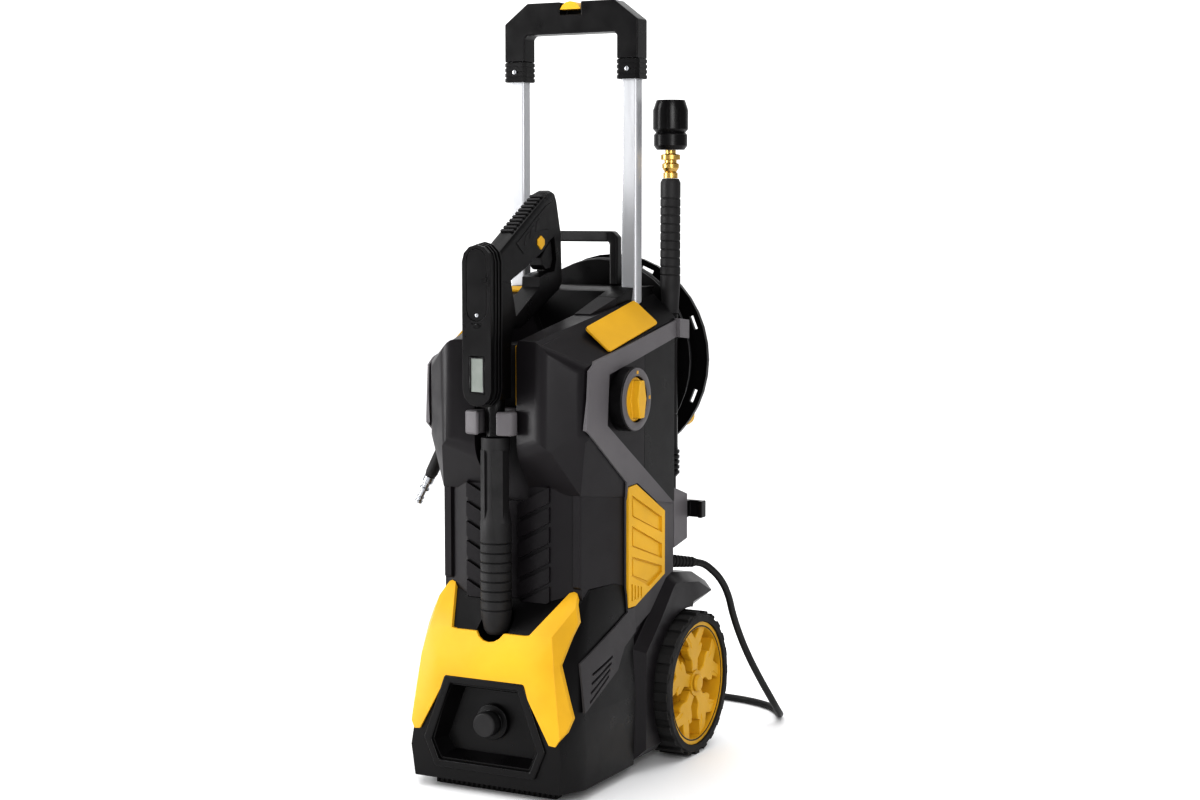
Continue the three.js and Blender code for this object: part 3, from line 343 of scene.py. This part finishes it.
def soften(piece, width_mm, segments=3):
    """Rounds the piece's sharp edges and shades its surface smooth between the flats."""
    weld = piece.modifiers.new("weld", "WELD")
    weld.merge_threshold = WELD_DISTANCE
    flats = piece.modifiers.new("flats", "DECIMATE")
    flats.decimate_type = "DISSOLVE"
    flats.angle_limit = FLAT_ANGLE
    bevel = piece.modifiers.new("round", "BEVEL")
    bevel.width = width_mm * MM
    bevel.segments = segments
    bevel.limit_method = "ANGLE"
    bevel.angle_limit = EDGE_ANGLE
    shade_smooth(piece.data)
    normals = piece.modifiers.new("normals", "WEIGHTED_NORMAL")
    normals.keep_sharp = True


def shade_smooth(mesh):
    for polygon in mesh.polygons:
        polygon.use_smooth = True


def mesh_from(name, build):
    """A mesh object made by a function that fills a bmesh."""
    mesh = bpy.data.meshes.new(name)
    form = bmesh.new()
    build(form)
    bmesh.ops.recalc_face_normals(form, faces=form.faces)
    form.to_mesh(mesh)
    form.free()
    shade_smooth(mesh)
    return link_piece(name, mesh)


def revolve(form, profile, place, segments, closed):
    """Turns (radius, height) pairs about Z and moves the result by the matrix place."""
    def corner(radius, height, i):
        spin = 2 * math.pi * i / segments
        return form.verts.new(place @ Vector((radius * math.cos(spin), radius * math.sin(spin), height)))

    rings = []
    for radius, height in profile:
        count = segments if radius > 1e-6 else 1
        rings.append([corner(radius, height, i) for i in range(count)])
    pairs = list(zip(rings, rings[1:]))
    if closed:
        pairs.append((rings[-1], rings[0]))
    for low, high in pairs:
        for i in range(segments):
            j = (i + 1) % segments
            corners = [low[i % len(low)], low[j % len(low)], high[j % len(high)], high[i % len(high)]]
            unique = list(dict.fromkeys(corners))
            if len(unique) > 2:
                form.faces.new(unique)


def prism(form, outline, place, depth):
    """Extrudes a list of (a, b) corners along the third axis of the matrix place."""
    floor = [form.verts.new(place @ Vector((a, b, 0))) for a, b in outline]
    roof = [form.verts.new(place @ Vector((a, b, depth))) for a, b in outline]
    form.faces.new(floor[::-1])
    form.faces.new(roof)
    for i in range(len(outline)):
        j = (i + 1) % len(outline)
        form.faces.new([floor[i], floor[j], roof[j], roof[i]])


def turned(name, profile_mm, place, segments, closed=False):
    """A piece turned about the third axis of place, from (radius, height) pairs in millimetres."""
    profile = [(radius * MM, height * MM) for radius, height in profile_mm]
    return mesh_from(name, lambda form: revolve(form, profile, place, segments, closed))


def slab(name, outline_mm, place, low_mm, high_mm):
    """A prism between two heights over the plane of place, from an outline in millimetres."""
    base = place @ Matrix.Translation((0, 0, low_mm * MM))
    outline = [(a * MM, b * MM) for a, b in outline_mm]
    return mesh_from(name, lambda form: prism(form, outline, base, (high_mm - low_mm) * MM))


def rectangle(left, low, right, high):
    return [(left, low), (right, low), (right, high), (left, high)]


def shrunk(outline, inset):
    """The outline with every corner moved towards the middle by inset."""
    middle = Vector((sum(a for a, b in outline), sum(b for a, b in outline))) / len(outline)
    arms = [Vector(corner) - middle for corner in outline]
    return [tuple(middle + arm * (1 - inset / arm.length)) for arm in arms]


def carve(piece, cutters):
    """Cuts the cutters' shapes out of the piece and removes them."""
    for cutter in cutters:
        cut = piece.modifiers.new("cut", "BOOLEAN")
        cut.operation = "DIFFERENCE"
        cut.solver = "EXACT"
        cut.object = cutter
    seen = piece.evaluated_get(bpy.context.evaluated_depsgraph_get())
    mesh = bpy.data.meshes.new_from_object(seen)
    piece.modifiers.clear()
    piece.data = mesh
    for cutter in cutters:
        bpy.data.objects.remove(cutter)


def placed(origin, right, up):
    """A matrix whose X and Y axes are right and up and whose origin is the point, in the row frame."""
    x = Vector(right).normalized()
    y = (Vector(up) - Vector(up).dot(x) * x).normalized()
    z = x.cross(y)
    matrix = Matrix((x, y, z)).transposed().to_4x4()
    matrix.translation = Vector(origin)
    return matrix


def on_side(side, place):
    """The place itself on the right side, and its mirror image on the left."""
    return place if side > 0 else MIRROR @ place


def facing_front(origin):
    """A place whose outline runs across and up, with heights measured forwards."""
    return placed(origin, (1, 0, 0), (0, 0, 1))


def along_axis(origin, axis):
    """A place whose third axis is the given one."""
    side = axis.orthogonal()
    return placed(origin, side, axis.cross(side))


# ---------- Cords ----------
LEAD_ROUTE = [
    (0.1237, 0.1256, 0.2377), (0.130, 0.1345, 0.2345), (0.138, 0.145, 0.225), (0.145, 0.156, 0.211),
    (0.149, 0.168, 0.191), (0.1505, 0.180, 0.165), (0.153, 0.194, 0.138), (0.158, 0.212, 0.106),
    (0.165, 0.234, 0.072), (0.170, 0.256, 0.044), (0.170, 0.280, 0.022), (0.165, 0.303, 0.009),
    (0.154, 0.325, 0.005), (0.138, 0.344, 0.005), (0.118, 0.357, 0.005), (0.094, 0.366, 0.005),
    (0.064, 0.371, 0.005), (0.032, 0.372, 0.005), (0.002, 0.371, 0.005), (-0.022, 0.3698, 0.005),
    (-0.045, 0.3683, 0.005),
]
LEAD_DIAMETER = 0.009
HOSE_ROUTE = [
    (-0.086, 0.122, 0.5798), (-0.1095, 0.122, 0.556), (-0.136, 0.122, 0.525), (-0.162, 0.122, 0.492),
    (-0.188, 0.122, 0.456), (-0.214, 0.121, 0.416), (-0.238, 0.120, 0.376), (-0.256, 0.119, 0.344),
    (-0.266, 0.118, 0.324),
]
HOSE_DIAMETER = 0.011

# A layer of a coil lies this many diameters over the one below it.
LAYER_STEP = 1.02

# The lead's coil on the floor: points per turn, and how its layers are wound.
LEAD_TURN_STEPS = 20
LEAD_ENTRY_STEPS = 7
LEAD_PITCH = 0.0096
LEAD_LAYERS = 4
LEAD_LAYER_TURNS = 3.15
LEAD_CLIMB_TURNS = 0.35
LEAD_EXIT_ANGLE = -math.pi / 2
LOOP_STEPS = 9
LOOP_LIFT = 0.0015

# The hose on the reel, in the same terms.
HOSE_TURN_STEPS = 24
HOSE_LEAVE_STEPS = 14
HOSE_PITCH = 0.011368
HOSE_LAYERS = 4
HOSE_LAYER_TURNS = 2.2
HOSE_CLIMB_TURNS = 0.4
HOSE_INNER_RADIUS = 0.0743


def eased(share):
    """0 below 0, 1 above 1, with a soft start and end between."""
    t = min(1.0, max(0.0, share))
    return t * t * (3 - 2 * t)


def around(centre, spin, radius, height):
    """A point at the given angle round a vertical axis."""
    return Vector((centre.x + radius * math.cos(spin), centre.y + radius * math.sin(spin), height))


def place_in_coil(turns, layers, layer_turns, climb_turns):
    """How many layers up the cord is after so many turns, and how many turns along its layer."""
    per_layer = layer_turns + climb_turns
    layer = min(layers - 1, int(turns / per_layer))
    within = turns - layer * per_layer
    along = min(within, layer_turns)
    if layer % 2:
        along = layer_turns - along
    return layer + eased((within - layer_turns) / climb_turns), along


def lead_coil(start, centre, outer):
    """The lead from start: a part turn in to the coil, then its layers from the outside in and back."""
    angle = math.atan2(start.y - centre.y, start.x - centre.x)
    first = (start.xy - centre.xy).length
    points = []

    def lay(spin, radius, height):
        points.append(around(centre, spin, radius, height))

    for i in range(1, LEAD_ENTRY_STEPS + 1):
        radius = first + (outer - first) * eased(i / LEAD_ENTRY_STEPS)
        lay(angle + 2 * math.pi * i / LEAD_TURN_STEPS, radius, start.z)
    angle += 2 * math.pi * LEAD_ENTRY_STEPS / LEAD_TURN_STEPS

    # The number of turns is rounded so that the coil ends where the plug's loop starts.
    climbs = (LEAD_LAYERS - 1) * LEAD_CLIMB_TURNS
    wanted = LEAD_LAYERS * LEAD_LAYER_TURNS + climbs
    part = (LEAD_EXIT_ANGLE - angle) / (2 * math.pi)
    turns_in_all = part + round(wanted - part)
    layer_turns = (turns_in_all - climbs) / LEAD_LAYERS
    steps = int(turns_in_all * LEAD_TURN_STEPS)
    for i in range(1, steps + 1):
        turns = turns_in_all * i / steps
        up, inward = place_in_coil(turns, LEAD_LAYERS, layer_turns, LEAD_CLIMB_TURNS)
        height = start.z + LEAD_DIAMETER * LAYER_STEP * up
        lay(angle + 2 * math.pi * turns, outer - inward * LEAD_PITCH, height)
    return points


def plug_loop(top, entry):
    """From the end of the top layer, one loop over the coil into the plug's tail."""
    radius = (entry.y - top.y) / 2
    middle = Vector((entry.x, top.y + radius, 0))
    low = top.z + LOOP_LIFT
    points = [Vector(((top.x + middle.x) / 2, top.y - 0.0005, top.z + 0.001))]
    for i in range(LOOP_STEPS + 1):
        spin = -math.pi / 2 + math.pi * i / LOOP_STEPS
        height = low + (entry.z - low) * eased(i / (LOOP_STEPS - 2))
        points.append(around(middle, spin, radius, height))
    return points


def smooth_cord(name, points, diameter, material, body, *replaced):
    """A round cord on one smooth curve through the points."""
    data = bpy.data.curves.new(name, "CURVE")
    data.dimensions = "3D"
    data.bevel_depth = diameter / 2
    data.bevel_resolution = 5
    data.resolution_u = 6
    data.use_fill_caps = True
    spline = data.splines.new("BEZIER")
    spline.bezier_points.add(len(points) - 1)
    for knot, point in zip(spline.bezier_points, points):
        knot.co = point
        knot.handle_left_type = "AUTO"
        knot.handle_right_type = "AUTO"
    return dress(link_piece(name, data), material, body, "rubber", *replaced)


def add_mains_lead():
    route = [Vector(point) for point in LEAD_ROUTE]
    low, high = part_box("lead_coil")
    coil = lead_coil(route[-1], (low + high) / 2, (high.x - low.x - LEAD_DIAMETER) / 2)
    low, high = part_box("mains_plug")
    entry = Vector((high.x, (low.y + high.y) / 2, (low.z + high.z) / 2))
    line = route + coil + plug_loop(coil[-1], entry)
    lead = smooth_cord("mains_lead", line, LEAD_DIAMETER, "lead", "chassis", "power_lead", "lead_coil")


def add_hose_sleeve():
    before, end = (Vector(point) for point in HOSE_ROUTE[-2:])
    profile = [(5.7, -52), (8.3, -49), (8.3, -6), (7.2, -1), (5.7, 0)]
    sleeve = turned("hose_sleeve", profile, along_axis(end, (end - before).normalized()), 32, closed=True)
    return dress(sleeve, "soft", "chassis", "rubber")


def add_hose_end():
    tail = [Vector(point) for point in HOSE_ROUTE]
    hose = smooth_cord("hose_end", tail, HOSE_DIAMETER, "hose", "chassis", "hose_tail")
    add_hose_sleeve()


def add_hose_turns():
    """The hose wound on the reel in layers, then half a turn out to where the free end starts."""
    low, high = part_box("hose_winding")
    centre = (low + high) / 2
    end = Vector(HOSE_ROUTE[0])
    wound = HOSE_LAYERS * HOSE_LAYER_TURNS + (HOSE_LAYERS - 1) * HOSE_CLIMB_TURNS
    leaving = HOSE_LEAVE_STEPS / HOSE_TURN_STEPS
    first_angle = math.atan2(end.z - centre.z, end.x - centre.x) - 2 * math.pi * (wound + leaving)
    points = []

    def lay(turns, radius, y):
        spin = first_angle + 2 * math.pi * turns
        points.append(Vector((centre.x + radius * math.cos(spin), y, centre.z + radius * math.sin(spin))))

    steps = int(wound * HOSE_TURN_STEPS)
    for i in range(steps + 1):
        turns = wound * i / steps
        out, along = place_in_coil(turns, HOSE_LAYERS, HOSE_LAYER_TURNS, HOSE_CLIMB_TURNS)
        radius = HOSE_INNER_RADIUS + HOSE_DIAMETER * LAYER_STEP * out
        lay(turns, radius, low.y + HOSE_DIAMETER / 2 + along * HOSE_PITCH)
    last_y = points[-1].y
    end_radius = math.hypot(end.x - centre.x, end.z - centre.z)
    for i in range(1, HOSE_LEAVE_STEPS + 1):
        share = eased(i / HOSE_LEAVE_STEPS)
        out_radius = radius + (end_radius - radius) * share
        lay(wound + i / HOSE_TURN_STEPS, out_radius, last_y + (end.y - last_y) * share)
    smooth_cord("hose_turns", points, HOSE_DIAMETER, "hose", "reel", "hose_winding")


# ---------- Carried-over CAD nodes ----------
# The finish of each CAD node and how far its edges are rounded, in millimetres.
FINISHES = {
    "charcoal": {"wheel_arch_right": 3, "wheel_arch_left": 3},
    "black": {
        "switch_housing": 0.8, "rear_shell": 2, "base_tray": 2.2, "carry_handle": 2.5, "reel_bracket": 0.8,
        "cable_hook": 1.2, "collar_right": 0.6, "collar_left": 0.6, "handle_grip": 3, "reel_drum": 1,
        "crank_arm": 1.5, "display_pod": 0.6, "battery_cover": 0.4, "gun_body": 1.6, "trigger": 1.5,
        "nozzle_head": 0.6, "lance_tube": 0.4, "water_inlet": 0.8,
    },
    "soft": {"gun_barrel": 0.5, "lance_grip": 0.4, "inlet_cap": 1, "mains_plug": 1, "front_foot": 1.5},
    "band": {"side_band_right": 0.8, "side_band_left": 0.8},
    "grey": {"gun_clip": 3, "lance_clip": 1.2, "lance_holder": 1.2},
    "yellow": {
        "front_trim": 1, "blank_plate_right": 0.8, "blank_plate_left": 0.8, "channel_strip": 0.6,
        "switch_knob": 1.2, "rim_right": 1, "rim_left": 1, "hub_cap_right": 1, "hub_cap_left": 1,
        "release_button": 1.2, "crank_knob": 1, "safety_lock": 0.8,
    },
    "tyre": {"tyre_right": 1.2, "tyre_left": 1.2},
    "aluminium": {"handle_tube_right": 0.3, "handle_tube_left": 0.3},
    "steel": {"wheel_axle": 0.4, "hose_plug": 0.3},
    "cast": {"motor": 1, "pump": 1},
    "brass": {"quick_coupling": 0.3},
    "display": {"display_window": 0.3},
}

# Which edges of the front shell get a wide round, and how wide it is.
SHELL_ROUND = 0.012
SHELL_ROOM = 0.03
SHELL_DEPTH = 0.06
SHELL_CHANNEL = 0.045
SHELL_ANGLE = math.radians(18)


def finish_nodes():
    for material, nodes in FINISHES.items():
        for name, width_mm in nodes.items():
            node = NODES[name]
            node.data.materials.clear()
            node.data.materials.append(MATERIALS[material])
            soften(node, width_mm)


def is_shoulder_edge(edge, front):
    """Whether the edge is a convex one near the front, beside the gun, with room for the round."""
    a, b = (vert.co for vert in edge.verts)
    middle = (a + b) / 2
    room = min(near.calc_length() for vert in edge.verts for near in vert.link_edges)
    return (len(edge.link_faces) == 2 and edge.is_convex and room > SHELL_ROOM
            and edge.calc_face_angle() > SHELL_ANGLE
            and middle.y < front + SHELL_DEPTH and abs(middle.x) > SHELL_CHANNEL)


def add_rounded_shell():
    """The front shell with wide rounds on its shoulders' edges, as a moulding has."""
    mesh = NODES["front_shell"].data.copy()
    form = bmesh.new()
    form.from_mesh(mesh)
    bmesh.ops.remove_doubles(form, verts=form.verts, dist=WELD_DISTANCE)
    bmesh.ops.dissolve_limit(form, angle_limit=FLAT_ANGLE, verts=form.verts, edges=form.edges)
    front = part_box("front_shell")[0].y
    edges = [edge for edge in form.edges if is_shoulder_edge(edge, front)]
    bmesh.ops.bevel(form, geom=edges, offset=SHELL_ROUND, offset_type="OFFSET", segments=6, profile=0.5,
                    affect="EDGES", clamp_overlap=True)
    form.to_mesh(mesh)
    form.free()
    shell = link_piece("front_moulding", mesh)
    dress(shell, "charcoal", "chassis", "charcoal_plastic", "front_shell")
    soften(shell, 1.2)


# ---------- Extra detail, riding on the CAD bodies (outlines in millimetres) ----------
VENT_OUTLINE = [(-36, 206), (-20, 206), (49, 235), (49, 313), (-18, 353), (-36, 351)]
VENT_FACE_X = 0.107
VENT_FACE_Y = 0.028
VENT_SLOPE = (8, 102, 0)


def vent_windows():
    """Three slanted windows, each lower and less steep than the last. The last one's corner is cut off."""
    windows = []
    for i in range(3):
        top = 341 - i * 37
        far_top = top - 35 + i * 4
        windows.append([(-28, top), (-28, top - 26 + i), (42, far_top - 19 + i), (42, far_top)])
    windows[2][2:] = [(12, 225), (42, 238), (42, 246)]
    return windows


def vent_slits():
    slits = []
    for i in range(4):
        left = -29 + i * 7
        right = left + 3
        slits.append([(left, 234 - i * 2), (left, 213), (right, 213 + i), (right, 233 - i * 2)])
    return slits


def add_vents():
    face_x = VENT_FACE_X + VENT_FACE_Y * VENT_SLOPE[0] / VENT_SLOPE[1]
    for side, name in SIDES:
        place = on_side(side, placed((face_x, 0, 0), VENT_SLOPE, (0, 0, 1)))
        panel = slab("vent_panel_" + name, VENT_OUTLINE, place, 0.6, 5.0)
        carve(panel, [slab("window", window, place, 1.8, 8) for window in vent_windows() + vent_slits()])
        dress(panel, "yellow", "chassis", "yellow_plastic", "side_vent_" + name)
        soften(panel, 0.9)
        for i, window in enumerate(vent_windows()):
            pane = slab(f"vent_pane_{name}_{i}", shrunk(window, 6), place, 1.6, 3.0)
            dress(pane, "yellow", "chassis", "yellow_plastic")
            soften(pane, 0.9)


# Half of a spoke's outline, from the hub out to the rim.
HALF_SPOKE = [(7.5, 15), (8.5, 29), (17.5, 37), (21.5, 45), (17, 49.5), (11, 46.5), (13, 53), (27, 65),
              (25, 69.5), (14.5, 71)]
SPOKES = 5
STAR_RADII = (12.5, 17)
RIM_LINE = rectangle(70.4, -0.5, 72.0, 0.35)


def hub_star():
    """A star with a point for every spoke."""
    corners = []
    for i in range(2 * SPOKES):
        radius = STAR_RADII[i % 2]
        spin = math.pi * i / SPOKES
        corners.append((radius * math.sin(spin), radius * math.cos(spin)))
    return corners


def add_wheel_detail(side, name):
    """Spokes, a star round the hub and a thin black line, on the rim's outer face."""
    low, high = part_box("rim_" + name)
    centre = (low + high) / 2
    face = high.x if side > 0 else low.x
    front = placed((face, centre.y, centre.z), (0, side, 0), (0, 0, 1))
    body = "wheel_" + name
    spoke = HALF_SPOKE + [(0, 57)] + [(-a, b) for a, b in reversed(HALF_SPOKE)]
    for i in range(SPOKES):
        turn = front @ Matrix.Rotation(2 * math.pi * i / SPOKES, 4, "Z")
        plate = slab(f"spoke_{name}_{i}", spoke, turn, -14, -2.6)
        dress(plate, "yellow", body, "yellow_plastic")
        soften(plate, 1.4)
    hub = slab("hub_star_" + name, hub_star(), front, -12, -0.8)
    dress(hub, "yellow", body, "yellow_plastic")
    soften(hub, 1.2)
    line = turned("rim_line_" + name, RIM_LINE, front, 96, closed=True)
    dress(line, "black", body, "black_plastic")


def add_recess_frame():
    """A thick rounded frame round the recess in the front of the base."""
    face = facing_front((0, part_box("base_tray")[0].y + 3 * MM, 0))
    inner = [(-45, 129.5), (-71, 60), (-61, 37), (61, 37), (71, 60), (45, 129.5)]
    outer = [(-53, 138), (-82, 62), (-67, 28), (67, 28), (82, 62), (53, 138)]
    rim = slab("recess_frame", outer, face, 0, 5.2)
    carve(rim, [slab("window", inner, face, -3, 9)])
    dress(rim, "black", "chassis", "black_plastic")
    soften(rim, 2.2, 4)


def add_foot_ribs():
    """Upright ribs in a row across the front of the rubber foot."""
    low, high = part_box("front_foot")
    face = facing_front((0, low.y, low.z))
    half_row = (high.x - low.x) / 2 / MM - 6
    count = 24
    for i in range(count):
        x = -half_row + 2 * half_row * i / (count - 1)
        rib = slab(f"foot_rib_{i}", rectangle(x - 1.3, 1, x + 1.3, 11.5), face, -0.5, 1.6)
        dress(rib, "soft", "chassis", "rubber")


def add_grip_ribs():
    """Ribs across the back of the gun's grip."""
    start = Vector((0, -0.128, 0.6545))
    end = Vector((0, -0.060, 0.6943))
    along = (end - start).normalized()
    count = 11
    for i in range(count):
        spot = start + (end - start) * i / (count - 1)
        place = placed(spot, along, along.cross(Vector((1, 0, 0))))
        rib = slab(f"grip_rib_{i}", [(-2.3, -2), (2.3, -2), (1.4, 1.0), (-1.4, 1.0)], place, -8.5, 8.5)
        dress(rib, "soft", "gun", "rubber")
        soften(rib, 0.7)


def add_grip_pads():
    """A soft pad with three slanted bars on either side of the gun's grip."""
    outline = [(-128, 640), (-84, 668.5), (-58, 684), (-46, 688), (-37, 683), (-33, 670), (-36, 660),
               (-54, 655), (-62, 656), (-84, 652), (-92, 640), (-112, 628)]
    for side, name in SIDES:
        place = on_side(side, placed((0, 0, 0), (0, 1, 0), (0, 0, 1)))
        pad = slab("grip_pad_" + name, outline, place, 11.4, 13.0)
        dress(pad, "soft", "gun", "rubber")
        soften(pad, 0.6)
        for i in range(3):
            y = -112 + i * 13
            z = 637 + i * 8.2
            corners = [(y, z), (y + 8, z + 5), (y + 12, z + 17), (y + 4, z + 12)]
            bar = slab(f"grip_bar_{name}_{i}", corners, place, 12.6, 13.8)
            dress(bar, "soft", "gun", "rubber")
            soften(bar, 0.5)


def half_disc(centre_z, half_width, depth, steps=12):
    """The lower half of an ellipse below centre_z."""
    spins = [math.pi + math.pi * i / steps for i in range(steps + 1)]
    return [(half_width * math.cos(spin), centre_z + depth * math.sin(spin)) for spin in spins]


def add_pod_detail():
    """The battery cover's screw, the thumb notch under it and the display's bezel."""
    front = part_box("display_pod")[0].y
    face = facing_front((0, front, 0))
    profile = [(0, -2.2), (2.4, -2.2), (2.4, -0.4), (1.6, 0), (0, 0)]
    screw = turned("pod_screw", profile, facing_front((0, front, 0.560)), 24)
    dress(screw, "steel", "gun", "steel")
    notch = slab("pod_notch", half_disc(551, 7, 6.5), face, -0.6, 0)
    dress(notch, "gloss", "gun", "black_plastic")
    bezel = slab("display_bezel", rectangle(-10.6, 470.2, 10.6, 513.8), face, -0.7, 0)
    carve(bezel, [slab("window", rectangle(-8.0, 472.8, 8.0, 511.2), face, -3, 3)])
    dress(bezel, "gloss", "gun", "black_plastic")


def add_switch_detail():
    """The grey ring round the switch's knob, with a tick for either position."""
    low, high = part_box("switch_housing")
    centre = (low + high) / 2
    face = placed((high.x, centre.y, centre.z), (0, 1, 0), (0, 0, 1))
    profile = [(27.2, -0.6), (36.8, -0.6), (36.8, 0.5), (36.0, 1.2), (28.0, 1.2), (27.2, 0.5)]
    ring = turned("switch_plate", profile, face, 80, closed=True)
    dress(ring, "grey", "chassis", "grey_plastic")
    for i, spin in enumerate((0, -90)):
        turn = face @ Matrix.Rotation(math.radians(spin), 4, "Z")
        tick = slab(f"switch_tick_{i}", rectangle(-2, 29.6, 2, 33.6), turn, 0.9, 1.7)
        dress(tick, "amber", "chassis", "yellow_plastic")
        soften(tick, 0.3)


def add_deck_strip():
    """The yellow strip that lies on the sloping deck, left of the gun."""
    slope = placed((-0.071, 0.013, 0.5815), (1, 0, 0), (0, 30, 13))
    strip = slab("deck_strip", rectangle(-20, -5, 20, 5), slope, -2, 1.8)
    dress(strip, "yellow", "chassis", "yellow_plastic")
    soften(strip, 0.6)


def add_carry_grip():
    low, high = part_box("carry_handle")
    top = facing_front((0, (low.y + high.y) / 2, high.z))
    outline = [(-38, -13), (38, -13), (38, -3.5), (34, -0.2), (-34, -0.2), (-38, -3.5)]
    grip = slab("carry_grip", outline, top, -8.5, 8.5)
    dress(grip, "soft", "chassis", "rubber")
    soften(grip, 2.5)


def add_collar_screws():
    profile = [(0, -2), (3.2, -2), (3.2, 0.6), (2, 1.4), (0, 1.6)]
    for name in ("right", "left"):
        low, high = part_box("collar_" + name)
        place = facing_front(((low.x + high.x) / 2, low.y, low.z + 0.012))
        screw = turned("collar_screw_" + name, profile, place, 24)
        dress(screw, "steel", "handle", "steel")


def add_relief():
    """The lead's strain relief: a taper of separate rings, from the housing to the free lead."""
    profile = [(0, -6), (8, -6), (8, 13)]
    count = 8
    for i in range(count):
        height = 15 + i * 5.7
        radius = 8.4 - 2.2 * i / count
        neck = radius - 2
        profile += [(neck, height - 1), (radius, height), (radius, height + 2.6), (neck, height + 3.6)]
    profile += [(5.5, 61), (0, 62)]
    place = along_axis((0.098, 0.068, 0.247), Vector((25, 56, -9)).normalized())
    relief = turned("ribbed_relief", profile, place, 32)
    dress(relief, "soft", "chassis", "rubber", "cable_gland")
    soften(relief, 0.3, 2)


add_mains_lead()
add_hose_end()
finish_nodes()
add_rounded_shell()
add_vents()
for wheel_side, wheel_name in SIDES:
    add_wheel_detail(wheel_side, wheel_name)
add_hose_turns()
add_recess_frame()
add_foot_ribs()
add_grip_ribs()
add_grip_pads()
add_pod_detail()
add_switch_detail()
add_deck_strip()
add_carry_grip()
add_collar_screws()
add_relief()
